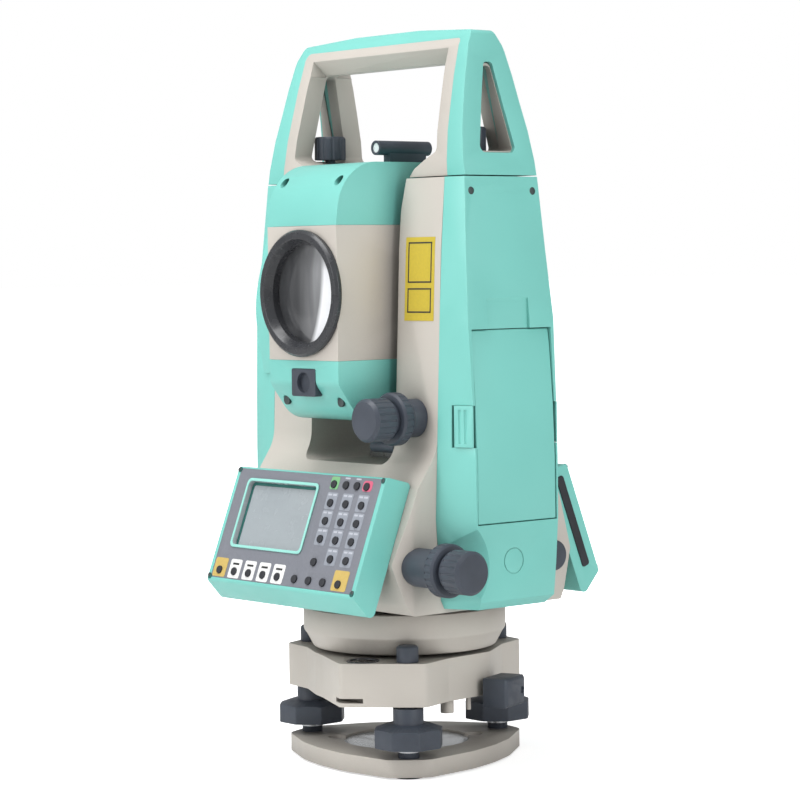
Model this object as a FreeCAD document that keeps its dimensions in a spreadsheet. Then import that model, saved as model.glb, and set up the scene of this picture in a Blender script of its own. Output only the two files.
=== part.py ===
import FreeCAD, Part
import Sketcher
import math
import os

# A surveying total station, in millimetres.
# +Z is up and is the vertical axis. The origin is the centre of the underside of the base plate.
# The telescope's objective and the front keyboard face -Y, and the battery is on the +X side.

document = FreeCAD.newDocument("total_station")
sheet = document.addObject("Spreadsheet::Sheet", "Sizes")

# Driving dimensions. An angle is in degrees, and every other value is in millimetres.
DRIVING = {
    # levelling head
    "screw_circle": 53.4,
    "front_screw_angle": -38.9,
    "foot_pad": 1.0,
    "plate_top": 9.4,
    "plate_corner": 61.5,
    "plate_side": 48.5,
    "plate_opening": 31.0,
    "sheet_thick": 1.6,
    "thread_bore": 6.81,
    "stem_radius": 5.0,
    "knob_low": 14.7,
    "knob_high": 25.5,
    "knob_radius": 16.8,
    "neck_radius": 7.2,
    "neck_high": 33.0,
    "tribrach_low": 34.0,
    "tribrach_high": 54.5,
    "tribrach_lobe": 61.2,
    "tribrach_core": 46.5,
    "thread_radius": 4.0,
    "bush_radius": 5.8,
    "screw_high": 52.0,
    "cap_radius": 5.2,
    "cap_high": 62.5,
    "vial_x": 24.0,
    "vial_y": -46.3,
    "vial_radius": 7.9,
    "lock_reach": 60.5,
    "lock_wide": 20.0,
    "lock_low": 29.0,
    "lock_high": 43.0,
    # base and vertical axis
    "base_low": 56.3,
    "base_high": 76.0,
    "base_radius": 49.3,
    "boss_radius": 20.5,
    "spindle_radius": 12.0,
    "spindle_high": 112.0,
    "race_radius": 17.0,
    "circle_radius": 38.0,
    # alidade
    "body_low": 79.0,
    "body_floor": 147.0,
    "body_top": 281.4,
    "gap_half": 32.0,
    "seam_half": 62.0,
    "side_low_x": 83.0,
    "side_top_x": 74.3,
    "cover_low": 81.0,
    "battery_low": 121.0,
    "battery_high": 210.5,
    "battery_half": 24.5,
    "battery_inner": 46.0,
    "latch_low": 156.5,
    "latch_high": 176.0,
    "handle_low": 282.0,
    "handle_top": 350.0,
    "handle_half": 62.6,
    "grip_under": 335.5,
    "grip_rim": 343.6,
    "handle_screw_x": 52.5,
    # telescope
    "trunnion_z": 228.2,
    "telescope_half": 26.2,
    "telescope_front": 60.2,
    "telescope_rear": 40.0,
    "seam_up": 31.8,
    "seam_down": 31.7,
    "cover_up": 61.4,
    "cover_down": 60.6,
    "axle_radius": 8.0,
    "bezel_radius": 30.0,
    "bezel_neck": 24.6,
    "lens_radius": 23.6,
    # tangent screws
    "v_knob_x": 46.0,
    "v_knob_z": 169.5,
    "h_knob_y": 43.0,
    "h_knob_z": 101.5,
    "sleeve_radius": 9.0,
    "ring_radius": 12.4,
    "knob_end_radius": 10.1,
    # keyboards
    "panel_half": 56.3,
    "panel_high": 58.0,
    "panel_thick": 14.8,
    "panel_tilt": 68.7,
    "panel_y": 77.8,
    "panel_z": 89.7,
    "plate_thick": 1.2,
    "key_radius": 1.9,
    # general fit
    "fit": 0.05,
}

for row, (alias, value) in enumerate(DRIVING.items(), start=1):
    sheet.set("A%d" % row, alias)
    sheet.set("B%d" % row, str(value))
    sheet.setAlias("B%d" % row, alias)
document.recompute()


class Size:
    """A dimension that knows its value and the sheet formula that it comes from."""

    def __init__(self, value, formula):
        self.value = value
        self.formula = formula

    def __add__(self, other):
        other = size(other)
        return Size(self.value + other.value, "(%s + %s)" % (self.formula, other.formula))

    def __sub__(self, other):
        other = size(other)
        return Size(self.value - other.value, "(%s - %s)" % (self.formula, other.formula))

    def __mul__(self, other):
        other = size(other)
        return Size(self.value * other.value, "(%s * %s)" % (self.formula, other.formula))

    def __truediv__(self, other):
        other = size(other)
        return Size(self.value / other.value, "(%s / %s)" % (self.formula, other.formula))

    def __neg__(self):
        return Size(-self.value, "(0 - %s)" % self.formula)

    def __radd__(self, other):
        return size(other) + self

    def __rsub__(self, other):
        return size(other) - self

    def __rmul__(self, other):
        return size(other) * self


def size(number):
    """A Size from a Size or from a plain number."""
    if isinstance(number, Size):
        return number
    return Size(float(number), "(%.6g)" % number)


class Driving:
    """Gives each driving dimension of the sheet by its name."""

    def __getattr__(self, name):
        return Size(DRIVING[name], "Sizes.%s" % name)


d = Driving()


def polar(radius, angle):
    """The point at a radius and an angle in degrees, as two Sizes."""
    radius = size(radius)
    angle = size(angle)
    x = radius.value * math.cos(math.radians(angle.value))
    y = radius.value * math.sin(math.radians(angle.value))
    cosine = "(%s * cos(%s))" % (radius.formula, angle.formula)
    sine = "(%s * sin(%s))" % (radius.formula, angle.formula)
    return Size(x, cosine), Size(y, sine)


SCREW_ANGLES = {
    "front": d.front_screw_angle,
    "right": d.front_screw_angle + 120,
    "left": d.front_screw_angle + 240,
}


# ---- drawing helpers ----


def bind(thing, prop, amount):
    """Binds a property of an object to a Size."""
    thing.setExpression(prop, size(amount).formula)


def fix(sketch, kind, first, second, amount):
    """Adds a distance constraint from the sketch's origin that follows a Size."""
    amount = size(amount)
    if amount.formula == "(0)":
        axis = -2 if kind == "DistanceX" else -1
        sketch.addConstraint(Sketcher.Constraint("PointOnObject", first, second, axis))
        return
    index = sketch.addConstraint(Sketcher.Constraint(kind, -1, 1, first, second, amount.value))
    sketch.setExpression("Constraints[%d]" % index, amount.formula)


def unit(start, end):
    """The unit direction from one point to another."""
    span = FreeCAD.Vector(end).sub(start)
    span.normalize()
    return span


def rounding(before, corner, after, radius):
    """The arc that rounds a corner: where it starts and ends, and its centre and turn."""
    back = unit(corner, before)
    ahead = unit(corner, after)
    half = back.getAngle(ahead) / 2
    reach = radius / math.tan(half)
    middle = (back + ahead).normalize()
    centre = corner + middle * (radius / math.sin(half))
    left_turn = (ahead.x * -back.y - ahead.y * -back.x) < 0
    return corner + back * reach, corner + ahead * reach, centre, left_turn


def outline(sketch, corners):
    """Draws a closed outline. A corner is (x, y) when sharp, or (x, y, radius) when rounded."""
    spots = [FreeCAD.Vector(size(c[0]).value, size(c[1]).value, 0) for c in corners]
    count = len(corners)
    arcs = {}
    starts = list(spots)
    ends = list(spots)
    for i, corner in enumerate(corners):
        if len(corner) == 3:
            radius = size(corner[2]).value
            arcs[i] = rounding(spots[i - 1], spots[i], spots[(i + 1) % count], radius)
            ends[i] = arcs[i][0]
            starts[i] = arcs[i][1]
    lines = []
    for i in range(count):
        line = Part.LineSegment(starts[i], ends[(i + 1) % count])
        lines.append(sketch.addGeometry(line, False))
    for i, corner in enumerate(corners):
        before = lines[i - 1]
        after = lines[i]
        if i not in arcs:
            sketch.addConstraint(Sketcher.Constraint("Coincident", before, 2, after, 1))
            fix(sketch, "DistanceX", after, 1, corner[0])
            fix(sketch, "DistanceY", after, 1, corner[1])
            continue
        enter, leave, centre, left_turn = arcs[i]
        first, last = (enter, leave) if left_turn else (leave, enter)
        circle = Part.Circle(centre, FreeCAD.Vector(0, 0, 1), size(corner[2]).value)
        from_angle = math.atan2(first.y - centre.y, first.x - centre.x)
        to_angle = math.atan2(last.y - centre.y, last.x - centre.x)
        arc = sketch.addGeometry(Part.ArcOfCircle(circle, from_angle, to_angle), False)
        spot = sketch.addGeometry(Part.Point(spots[i]), True)
        enter_end, leave_end = (1, 2) if left_turn else (2, 1)
        sketch.addConstraint(Sketcher.Constraint("Tangent", before, 2, arc, enter_end))
        sketch.addConstraint(Sketcher.Constraint("Tangent", arc, leave_end, after, 1))
        sketch.addConstraint(Sketcher.Constraint("PointOnObject", spot, 1, before))
        sketch.addConstraint(Sketcher.Constraint("PointOnObject", spot, 1, after))
        fix(sketch, "DistanceX", spot, 1, corner[0])
        fix(sketch, "DistanceY", spot, 1, corner[1])
        index = sketch.addConstraint(Sketcher.Constraint("Radius", arc, size(corner[2]).value))
        sketch.setExpression("Constraints[%d]" % index, size(corner[2]).formula)


def circle(sketch, x, y, radius):
    """Draws a circle."""
    radius = size(radius)
    centre = FreeCAD.Vector(size(x).value, size(y).value, 0)
    ring = Part.Circle(centre, FreeCAD.Vector(0, 0, 1), radius.value)
    made = sketch.addGeometry(ring, False)
    fix(sketch, "DistanceX", made, 3, x)
    fix(sketch, "DistanceY", made, 3, y)
    index = sketch.addConstraint(Sketcher.Constraint("Radius", made, radius.value))
    sketch.setExpression("Constraints[%d]" % index, radius.formula)


def rectangle(sketch, x_low, x_high, y_low, y_high, radius=None):
    """Draws an upright rectangle, with rounded corners when a radius is given."""
    corners = [(x_low, y_low), (x_high, y_low), (x_high, y_high), (x_low, y_high)]
    if radius is not None:
        corners = [(x, y, radius) for x, y in corners]
    outline(sketch, corners)


def new_body(label):
    """A new body, known by its label."""
    body = document.addObject("PartDesign::Body", label)
    body.Label = label
    return body


def sketch_on(body, plane, offset=0):
    """A sketch on one of the body's own origin planes, moved along the plane's normal."""
    made = body.newObject("Sketcher::SketchObject", body.Label + "_sketch")
    origin_plane = [f for f in body.Origin.OriginFeatures if f.Role == plane + "_Plane"][0]
    made.AttachmentSupport = (origin_plane, [""])
    made.MapMode = "FlatFace"
    bind(made, ".AttachmentOffset.Base.z", offset)
    return made


def feature(body, kind, sketch, length=None, both=False, reverse=False):
    """Adds a pad or a pocket from a sketch. Without a length it goes through everything."""
    made = body.newObject("PartDesign::" + kind, body.Label + "_" + kind.lower())
    made.Profile = sketch
    if length is None:
        made.Type = 1
    else:
        made.Length = size(length).value
        bind(made, "Length", length)
    made.Midplane = both
    made.Reversed = reverse
    sketch.Visibility = False
    return made


def spin(body, corners, kind="Revolution"):
    """Turns an outline of (radius, height) corners around the body's Z axis."""
    made_sketch = sketch_on(body, "XZ")
    outline(made_sketch, corners)
    made = body.newObject("PartDesign::" + kind, body.Label + "_" + kind.lower())
    made.Profile = made_sketch
    made.ReferenceAxis = (made_sketch, ["V_Axis"])
    made.Angle = 360.0
    return made


def turned(label, corners):
    """A body turned from an outline of (radius, height) corners."""
    body = new_body(label)
    spin(body, corners)
    return body


def tube(label, inner, outer, low, high):
    """A plain turned ring, or a rod when the inner radius is zero."""
    return turned(label, [(inner, low), (outer, low), (outer, high), (inner, high)])


def around(body, done, count):
    """Repeats the last feature evenly around the body's Z axis."""
    pattern = body.newObject("PartDesign::PolarPattern", body.Label + "_pattern")
    pattern.Originals = [done]
    z_axis = [f for f in body.Origin.OriginFeatures if f.Role == "Z_Axis"][0]
    pattern.Axis = (z_axis, [""])
    pattern.Angle = 360
    pattern.Occurrences = count
    body.Tip = pattern
    return pattern


def drill(body, spots, radius, low, high):
    """Drills upright holes of one radius between two heights."""
    made = sketch_on(body, "XY", low)
    for x, y in spots:
        circle(made, x, y, radius)
    return feature(body, "Pocket", made, size(high) - low, reverse=True)


def place(thing, x=0, y=0, z=0, axis=None, angle=0):
    """Puts an object at a point, turned about an axis by an angle in degrees."""
    if axis is not None:
        turn = FreeCAD.Rotation(FreeCAD.Vector(*axis), size(angle).value)
        thing.Placement = FreeCAD.Placement(FreeCAD.Vector(), turn)
        bind(thing, ".Placement.Rotation.Angle", angle)
    bind(thing, ".Placement.Base.x", x)
    bind(thing, ".Placement.Base.y", y)
    bind(thing, ".Placement.Base.z", z)
    return thing


TO_FRONT = ((1, 0, 0), 90)
TO_REAR = ((1, 0, 0), -90)
TO_RIGHT = ((0, 1, 0), 90)
TO_LEFT = ((0, 1, 0), -90)


def group(label, members):
    """One node of several separate solids."""
    made = document.addObject("Part::Compound", label)
    made.Label = label
    made.Links = members
    return made


def box(name, x_low, x_high, y_low, y_high, z_low, z_high):
    """An upright block between two corners."""
    made = document.addObject("Part::Box", name)
    bind(made, "Length", size(x_high) - x_low)
    bind(made, "Width", size(y_high) - y_low)
    bind(made, "Height", size(z_high) - z_low)
    return place(made, x_low, y_low, z_low)


def rod(name, radius, length, x, y, z, direction=None):
    """A cylinder from a point, along +Z or along one of the four directions."""
    made = document.addObject("Part::Cylinder", name)
    bind(made, "Radius", radius)
    bind(made, "Height", length)
    if direction is None:
        return place(made, x, y, z)
    return place(made, x, y, z, direction[0], direction[1])


def combine(label, kind, base, tool):
    """A boolean of two objects: Cut, Common or Fuse."""
    made = document.addObject("Part::" + kind, label)
    made.Label = label
    made.Base = base
    made.Tool = tool
    return made


def cut_all(label, base, tools):
    """Cuts several tools from a base, one after another."""
    for number, tool in enumerate(tools, start=1):
        last = number == len(tools)
        name = label if last else "%s_cut_%d" % (label, number)
        base = combine(name, "Cut", base, tool)
    return base


pieces = {}


def keep(label, thing):
    """Records an object as a finished sub-part with its own label."""
    thing.Label = label
    pieces[label] = thing
    return thing


# ---- levelling head ----


def lobed(corner_spots, side_spots):
    """An outline that repeats around the three foot screws."""
    corners = []
    for angle in SCREW_ANGLES.values():
        for radius, offset, rounding_radius in corner_spots + side_spots:
            x, y = polar(radius, angle + offset)
            corners.append((x, y, rounding_radius))
    return corners


def screw_spots():
    """The three foot screw positions."""
    return [polar(d.screw_circle, angle) for angle in SCREW_ANGLES.values()]


def base_plate():
    """The rounded triangular plate that is clamped to the tripod."""
    body = new_body("base_plate")
    shape = sketch_on(body, "XY", d.foot_pad)
    corner_spots = [(d.plate_corner, -9, 9), (d.plate_corner, 9, 9)]
    side_spots = [(d.plate_side + 2.2, 38, 40), (d.plate_side, 60, 60), (d.plate_side + 2.2, 82, 40)]
    outline(shape, lobed(corner_spots, side_spots))
    feature(body, "Pad", shape, d.plate_top - d.foot_pad)
    boss = sketch_on(body, "XY")
    circle(boss, 0, 0, 14)
    feature(body, "Pad", boss, d.foot_pad + 1)
    opening = sketch_on(body, "XY", 6.8)
    circle(opening, 0, 0, d.plate_opening)
    feature(body, "Pocket", opening, d.plate_top - 6.8, reverse=True)
    notches = [polar(34.5, 219.5), polar(34.5, 65.8)]
    drill(body, notches, 4.6, 2.4, d.plate_top)
    drill(body, screw_spots(), d.stem_radius + d.fit, 5, d.plate_top)
    drill(body, [(0, 0)], d.thread_bore, 0, 6.8)
    return keep("base_plate", body)


def base_feet():
    """The three pads that stand on the tripod head."""
    pads = []
    for name, angle in SCREW_ANGLES.items():
        x, y = polar(52, angle)
        pads.append(rod("pad_" + name, 7.5, d.foot_pad, x, y, 0))
    return keep("base_feet", group("base_feet", pads))


def spring_plate():
    """The sheet metal spring in the opening of the base plate."""
    inner = d.thread_bore + 3
    low = size(6.8)
    made = tube("spring_plate", inner, d.plate_opening - 0.4, low, low + d.sheet_thick)
    return keep("spring_plate", made)


def foot_screw(name):
    """A foot screw: ball-ended stem, eight-sided knob, neck and thread."""
    label = "foot_screw_" + name
    body = new_body(label)
    knob = sketch_on(body, "XY", d.knob_low)
    corners = []
    for number in range(8):
        x, y = polar(d.knob_radius, 22.5 + 45 * number)
        corners.append((x, y, 1.5))
    outline(knob, corners)
    feature(body, "Pad", knob, d.knob_high - d.knob_low)
    spin(body, [
        (d.knob_radius - 6.5, d.knob_high),
        (d.knob_radius + 2, d.knob_high - 3),
        (d.knob_radius + 2, d.knob_high + 2),
        (d.knob_radius - 6.5, d.knob_high + 2),
    ], "Groove")
    spin(body, [
        (d.knob_radius - 1.6, d.knob_low - 1),
        (d.knob_radius + 2, d.knob_low - 1),
        (d.knob_radius + 2, d.knob_low + 2),
    ], "Groove")
    spin(body, [
        (0, 5),
        (d.stem_radius, 5),
        (d.stem_radius, d.knob_low),
        (d.knob_radius - 8, d.knob_low),
        (d.knob_radius - 8, d.knob_high),
        (d.neck_radius, d.knob_high),
        (d.neck_radius, d.neck_high),
        (d.thread_radius, d.neck_high),
        (d.thread_radius, d.screw_high),
        (0, d.screw_high),
    ])
    x, y = polar(d.screw_circle, SCREW_ANGLES[name])
    place(body, x, y, 0)
    return keep(label, body)


def foot_screw_bushes():
    """Threaded bushes in the three arms."""
    bushes = []
    inner = d.thread_radius + d.fit
    for name, angle in SCREW_ANGLES.items():
        bush = tube("bush_" + name, inner, d.bush_radius, d.tribrach_low, d.screw_high)
        x, y = polar(d.screw_circle, angle)
        bushes.append(place(bush, x, y, 0))
    return keep("foot_screw_bushes", group("foot_screw_bushes", bushes))


def foot_screw_caps():
    """Hollow caps over the ends of the foot screws."""
    caps = []
    inner = d.cap_radius - 0.9
    for name, angle in SCREW_ANGLES.items():
        cap = turned("cap_" + name, [
            (inner, d.tribrach_high),
            (d.cap_radius, d.tribrach_high),
            (d.cap_radius, d.cap_high - 1),
            (d.cap_radius - 1, d.cap_high),
            (0, d.cap_high),
            (0, d.cap_high - 1),
            (inner, d.cap_high - 1),
        ])
        x, y = polar(d.screw_circle, angle)
        caps.append(place(cap, x, y, 0))
    return keep("foot_screw_caps", group("foot_screw_caps", caps))


def tribrach_body():
    """The three-armed casting, with the circular level's block beside the front arm."""
    body = new_body("tribrach_body")
    shape = sketch_on(body, "XY", d.tribrach_low)
    core = d.tribrach_core
    lobe = d.tribrach_lobe
    arm = [(core + 1.5, -26, 6), (lobe, -11, 4), (lobe, 11, 4), (core + 1.5, 26, 6)]
    corners = []
    for name, angle in SCREW_ANGLES.items():
        spots = arm
        if name == "front":
            spots = [(core + 1, -58, 5), (lobe + 3, -30, 3), (lobe, 8, 4), (core + 1.5, 24, 6)]
        for radius, offset, rounding_radius in spots:
            x, y = polar(radius, angle + offset)
            corners.append((x, y, rounding_radius))
        side = 60 if name != "left" else 50
        x, y = polar(core, angle + side)
        corners.append((x, y, 12))
    outline(shape, corners)
    feature(body, "Pad", shape, d.tribrach_high - d.tribrach_low)
    seat = sketch_on(body, "XY", d.tribrach_high)
    circle(seat, 0, 0, 30)
    feature(body, "Pad", seat, d.base_low - d.tribrach_high)
    drill(body, [(0, 0)], d.boss_radius + d.fit, d.tribrach_low, d.base_low)
    drill(body, [(0, 0)], 36, d.tribrach_low, 45.4)
    drill(body, screw_spots(), d.bush_radius + 0.02, d.tribrach_low, d.screw_high)
    drill(body, screw_spots(), d.thread_radius + 0.3, d.screw_high, d.tribrach_high)
    drill(body, [(d.vial_x, d.vial_y)], d.vial_radius + 0.02, d.tribrach_high - 6, d.tribrach_high)
    slot = sketch_on(body, "XY", 35.8)
    rectangle(slot, d.vial_x - 7, d.vial_x + 7, d.vial_y - 16, d.vial_y - 4)
    feature(body, "Pocket", slot, 2.2, reverse=True)
    posts = sketch_on(body, "XY", 27.5)
    for radius, angle, thick in ((40.5, -11, 3.2), (40.5, 7.8, 1.2)):
        x, y = polar(radius, angle)
        circle(posts, x, y, thick)
    feature(body, "Pad", posts, d.tribrach_low + 1 - 27.5)
    return keep("tribrach_body", body)


def lock_plate():
    """The ring under the centre that grips the base's boss when it turns."""
    made = tube("lock_plate", d.boss_radius + 0.08, 34, 41, 45)
    return keep("lock_plate", made)


def lock_knob():
    """The square lever knob that turns the lock plate."""
    reach = d.lock_reach
    half = d.lock_wide / 2
    block = box("lock_block", d.tribrach_core + 1, reach, -half, half, d.lock_low, d.lock_high)
    middle = (d.lock_low + d.lock_high) / 2
    recess = rod("lock_recess", 1.6, 3, reach - 1.2, half - 3.4, middle, TO_RIGHT)
    cut = combine("lock_cut", "Cut", block, recess)
    made = document.addObject("Part::Chamfer", "lock_knob")
    made.Base = cut
    document.recompute()
    edges = [i for i, e in enumerate(cut.Shape.Edges, start=1) if e.Length > 12 and on_outer(e)]
    made.Edges = [(i, 1.2, 1.2) for i in edges]
    place(made, 0, 0, 0, (0, 0, 1), d.front_screw_angle + 60)
    return keep("lock_knob", made)


def on_outer(edge):
    """Whether an edge lies on the knob's outer face."""
    return all(abs(v.X - d.lock_reach.value) < 0.01 for v in edge.Vertexes)


def circular_level():
    """The circular level: a rimmed cup and the glass vial in it."""
    top = d.tribrach_high + 0.5
    low = d.tribrach_high - 6
    cup = turned("circular_level_cup", [
        (0, low),
        (d.vial_radius, low),
        (d.vial_radius, top - 0.4),
        (d.vial_radius - 0.4, top),
        (d.vial_radius - 1.8, top),
        (d.vial_radius - 1.8, low + 1),
        (0, low + 1),
    ])
    vial = turned("circular_level_vial", [
        (0, low + 1),
        (d.vial_radius - 1.85, low + 1),
        (d.vial_radius - 1.85, top - 0.6),
        (d.vial_radius - 3.5, top - 0.2),
        (0, top),
    ])
    place(cup, d.vial_x, d.vial_y, 0)
    place(vial, d.vial_x, d.vial_y, 0)
    keep("circular_level_cup", cup)
    keep("circular_level_vial", vial)


def base_flange():
    """The fixed lower drum of the instrument, with the boss that drops into the tribrach."""
    radius = d.base_radius
    low = d.base_low
    made = turned("base_flange", [
        (0, 40),
        (d.boss_radius, 40),
        (d.boss_radius, low),
        (radius - 4.8, low),
        (radius - 1.4, d.cap_high + 0.2),
        (radius, d.cap_high + 2),
        (radius, d.base_high),
        (d.spindle_radius + 8, d.base_high),
        (d.spindle_radius + 8, d.base_high - 6),
        (0, d.base_high - 6),
    ])
    return keep("base_flange", made)


def vertical_axis():
    """The steel spindle that the alidade turns on."""
    low = d.base_high - 6
    made = turned("vertical_axis", [
        (0, low),
        (d.spindle_radius + 7.9, low),
        (d.spindle_radius + 7.9, low + 5),
        (d.spindle_radius, low + 5),
        (d.spindle_radius, d.spindle_high),
        (0, d.spindle_high),
    ])
    return keep("vertical_axis", made)


def axis_bearing():
    """The bearing sleeve between the spindle and the alidade."""
    made = tube("axis_bearing", d.spindle_radius + d.fit, d.race_radius, 96, d.spindle_high)
    return keep("axis_bearing", made)


def horizontal_circle():
    """The glass circle that the horizontal angle is read from."""
    made = tube("horizontal_circle", d.spindle_radius + 0.02, d.circle_radius, 83, 85.5)
    return keep("horizontal_circle", made)


# ---- alidade ----


def mirrored(points):
    """A closed outline from its right half, listed from the bottom up."""
    left = [(-p[0],) + tuple(p[1:]) for p in reversed(points)]
    return points + left


def panel_point(up, out):
    """A point (half depth, height) of the keyboard's plane: up its face and out from it."""
    tilt = d.panel_tilt
    x1, y1 = polar(up, tilt)
    x2, y2 = polar(out, tilt)
    return d.panel_y - x1 + y2, d.panel_z + y1 + x2


def standard_bulge(sign):
    """The shallow forward curve of the left standard, level with the vertical circle."""
    corners = [(20, 188), (29.7, 188), (35.5, 222, 60), (26.4, 256), (20, 256)]
    return [(sign * c[0],) + c[1:] for c in corners]


def alidade_frame():
    """The casting: lower body, two standards and the gap that the telescope turns in."""
    body = new_body("alidade_frame")
    side = sketch_on(body, "YZ")
    upper = panel_point(57, -d.panel_thick - 0.1)
    lower = panel_point(20, -d.panel_thick - 0.1)
    right_half = [
        (46.5, d.body_low, 2),
        (50, 84, 6),
        (lower[0], lower[1], 3),
        (upper[0], upper[1], 3),
        (31, 155, 20),
        (30.1, 178),
        (28.5, 215),
        (27, 248),
        (24.2, d.body_top),
    ]
    outline(side, mirrored(right_half))
    feature(body, "Pad", side, d.seam_half * 2, both=True)
    bulge = sketch_on(body, "YZ", -d.seam_half)
    outline(bulge, standard_bulge(-1))
    feature(body, "Pad", bulge, d.seam_half - d.gap_half)
    gap = sketch_on(body, "XZ")
    half = d.gap_half
    outline(gap, mirrored([
        (half, d.body_floor, 5),
        (half, d.body_top - 15, 20),
        (half + 3, d.body_top + 1),
        (half + 3, d.body_top + 20),
    ]))
    feature(body, "Pocket", gap, 200, both=True)
    for x_sign, y_sign in ((1, 1), (1, -1), (-1, 1), (-1, -1)):
        corner = sketch_on(body, "XY", 70)
        wide = x_sign * 62.6
        outline(corner, [(wide, y_sign * 45), (wide, y_sign * 80), (x_sign * 50, y_sign * 80)])
        feature(body, "Pocket", corner, 80, reverse=True)
    drill(body, [(0, 0)], 42, d.body_low, 92)
    drill(body, [(0, 0)], d.race_radius + 0.02, 92, d.spindle_high + 4)
    bay = sketch_on(body, "YZ", d.battery_inner)
    y = d.battery_half + 0.5
    rectangle(bay, -y, y, d.battery_low - 0.6, d.battery_high + 0.6)
    feature(body, "Pocket", bay, 30, reverse=True)
    room = sketch_on(body, "YZ", -d.seam_half)
    rectangle(room, -24, 24, 92, 190)
    feature(body, "Pocket", room, 14, reverse=True)
    bore = sketch_on(body, "YZ")
    circle(bore, 0, d.trunnion_z, 13.02)
    feature(body, "Pocket", bore, 200, both=True)
    for side_sign in (1, -1):
        circle_room = sketch_on(body, "YZ", side_sign * d.seam_half)
        radius = 24 if side_sign < 0 else 16
        circle(circle_room, 0, d.trunnion_z, radius)
        feature(body, "Pocket", circle_room, 15, reverse=side_sign < 0)
    seat = sketch_on(body, "XZ", 29.5)
    circle(seat, d.v_knob_x, d.v_knob_z, d.sleeve_radius + 0.02)
    feature(body, "Pocket", seat, 10, reverse=True)
    low_seat = sketch_on(body, "YZ", 56)
    circle(low_seat, -d.h_knob_y, d.h_knob_z, d.sleeve_radius + 0.02)
    feature(body, "Pocket", low_seat, 10, reverse=True)
    screws = [(d.handle_screw_x, 0), (-d.handle_screw_x, 0)]
    drill(body, screws, 2.55, 264, d.body_top)
    return keep("alidade_frame", body)


def side_sections():
    """The cover's outline at its heights: (height, outer x, corner half depth, seam half depth)."""
    return [
        (d.cover_low, d.side_low_x - 5, 21, 28),
        (d.cover_low + 4, d.side_low_x - 0.6, 23, 30),
        (100, d.side_low_x, 24, 31),
        (123, d.side_low_x, 25.7, 32.4),
        (150, d.side_low_x, 25.8, 31.2),
        (176, 82, 26.2, 30.2),
        (215, 80, 26.8, 28.5),
        (247, 77, 24.9, 26.8),
        (d.body_top, d.side_top_x, 22.7, 24.2),
    ]


def side_cover(label, mirror):
    """One outer cover: a lofted shell that follows the standard's taper."""
    body = new_body(label if mirror else label + "_shell")
    profiles = []
    for height, outer, corner, seam in side_sections():
        made = sketch_on(body, "XY", height)
        x_low = d.seam_half + 0.1
        outline(made, [(x_low, -size(seam)), (outer, -size(corner)), (outer, corner), (x_low, seam)])
        profiles.append(made)
    loft = body.newObject("PartDesign::AdditiveLoft", label + "_loft")
    loft.Profile = profiles[0]
    loft.Sections = profiles[1:]
    loft.Ruled = True
    heads = sketch_on(body, "YZ", 74.1)
    for y in (-19.2, 19.2):
        circle(heads, y, 274.7, 1.82)
    feature(body, "Pocket", heads, 5, reverse=True)
    if mirror:
        bulge = sketch_on(body, "YZ", d.seam_half + 0.1)
        outline(bulge, standard_bulge(1))
        feature(body, "Pad", bulge, 9)
        hollow = sketch_on(body, "YZ", d.seam_half)
        rectangle(hollow, -21, 21, 92, 272, 4)
        feature(body, "Pocket", hollow, 9, reverse=True)
        place(body, 0, 0, 0, (0, 0, 1), 180)
        return keep(label, body)
    for low, high in ((88, 118), (214, 272)):
        hollow = sketch_on(body, "YZ", d.seam_half)
        rectangle(hollow, -20, 20, low, high, 3)
        feature(body, "Pocket", hollow, 9, reverse=True)
    bay = sketch_on(body, "YZ", d.seam_half)
    y = d.battery_half + 0.35
    rectangle(bay, -y, y, d.battery_low - 0.35, d.battery_high + 0.35)
    feature(body, "Pocket", bay, 60, reverse=True)
    seats = sketch_on(body, "YZ", 70)
    for sign in (1, -1):
        near = sign * 24
        far = sign * 34
        rectangle(seats, min(near, far), max(near, far), d.latch_low, d.latch_high)
    feature(body, "Pocket", seats, 30, reverse=True)
    scoop = sketch_on(body, "XZ", 1.5)
    outline(scoop, [(90, 206), (78.6, 206), (78.2, 224), (79.4, 225.6), (90, 225.6)])
    feature(body, "Pocket", scoop, 26, both=True)
    plug = sketch_on(body, "YZ", d.side_low_x)
    circle(plug, -3, 103, 6.2)
    circle(plug, -3, 103, 5.6)
    feature(body, "Pocket", plug, 0.4)
    clearance = turned("knob_clearance", [(0, 60), (12.6, 60), (26.5, 86), (0, 86)])
    place(clearance, 0, -d.h_knob_y, d.h_knob_z, *TO_RIGHT)
    return keep(label, combine(label, "Cut", body, clearance))


def case_screws():
    """The countersunk screws of the two side covers."""
    made = []
    for number, (y, z) in enumerate(((-19.2, 274.7), (19.2, 274.7)), start=1):
        made.append(rod("cover_screw_r%d" % number, 1.8, 0.6, 74.1, y, z, TO_RIGHT))
        made.append(rod("cover_screw_l%d" % number, 1.8, 0.6, -74.1, y, z, TO_LEFT))
    return made


def battery_pack():
    """The battery, whose outer face is part of the side of the instrument."""
    body = new_body("battery_pack")
    shape = sketch_on(body, "XZ")
    outline(shape, [
        (d.battery_inner + 0.5, d.battery_low),
        (d.side_low_x - 0.2, d.battery_low),
        (d.side_low_x - 0.2, 150),
        (81.8, 176),
        (79.8, 202),
        (78.7, d.battery_high),
        (d.battery_inner + 0.5, d.battery_high),
    ])
    feature(body, "Pad", shape, d.battery_half * 2, both=True)
    return keep("battery_pack", body)


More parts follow.
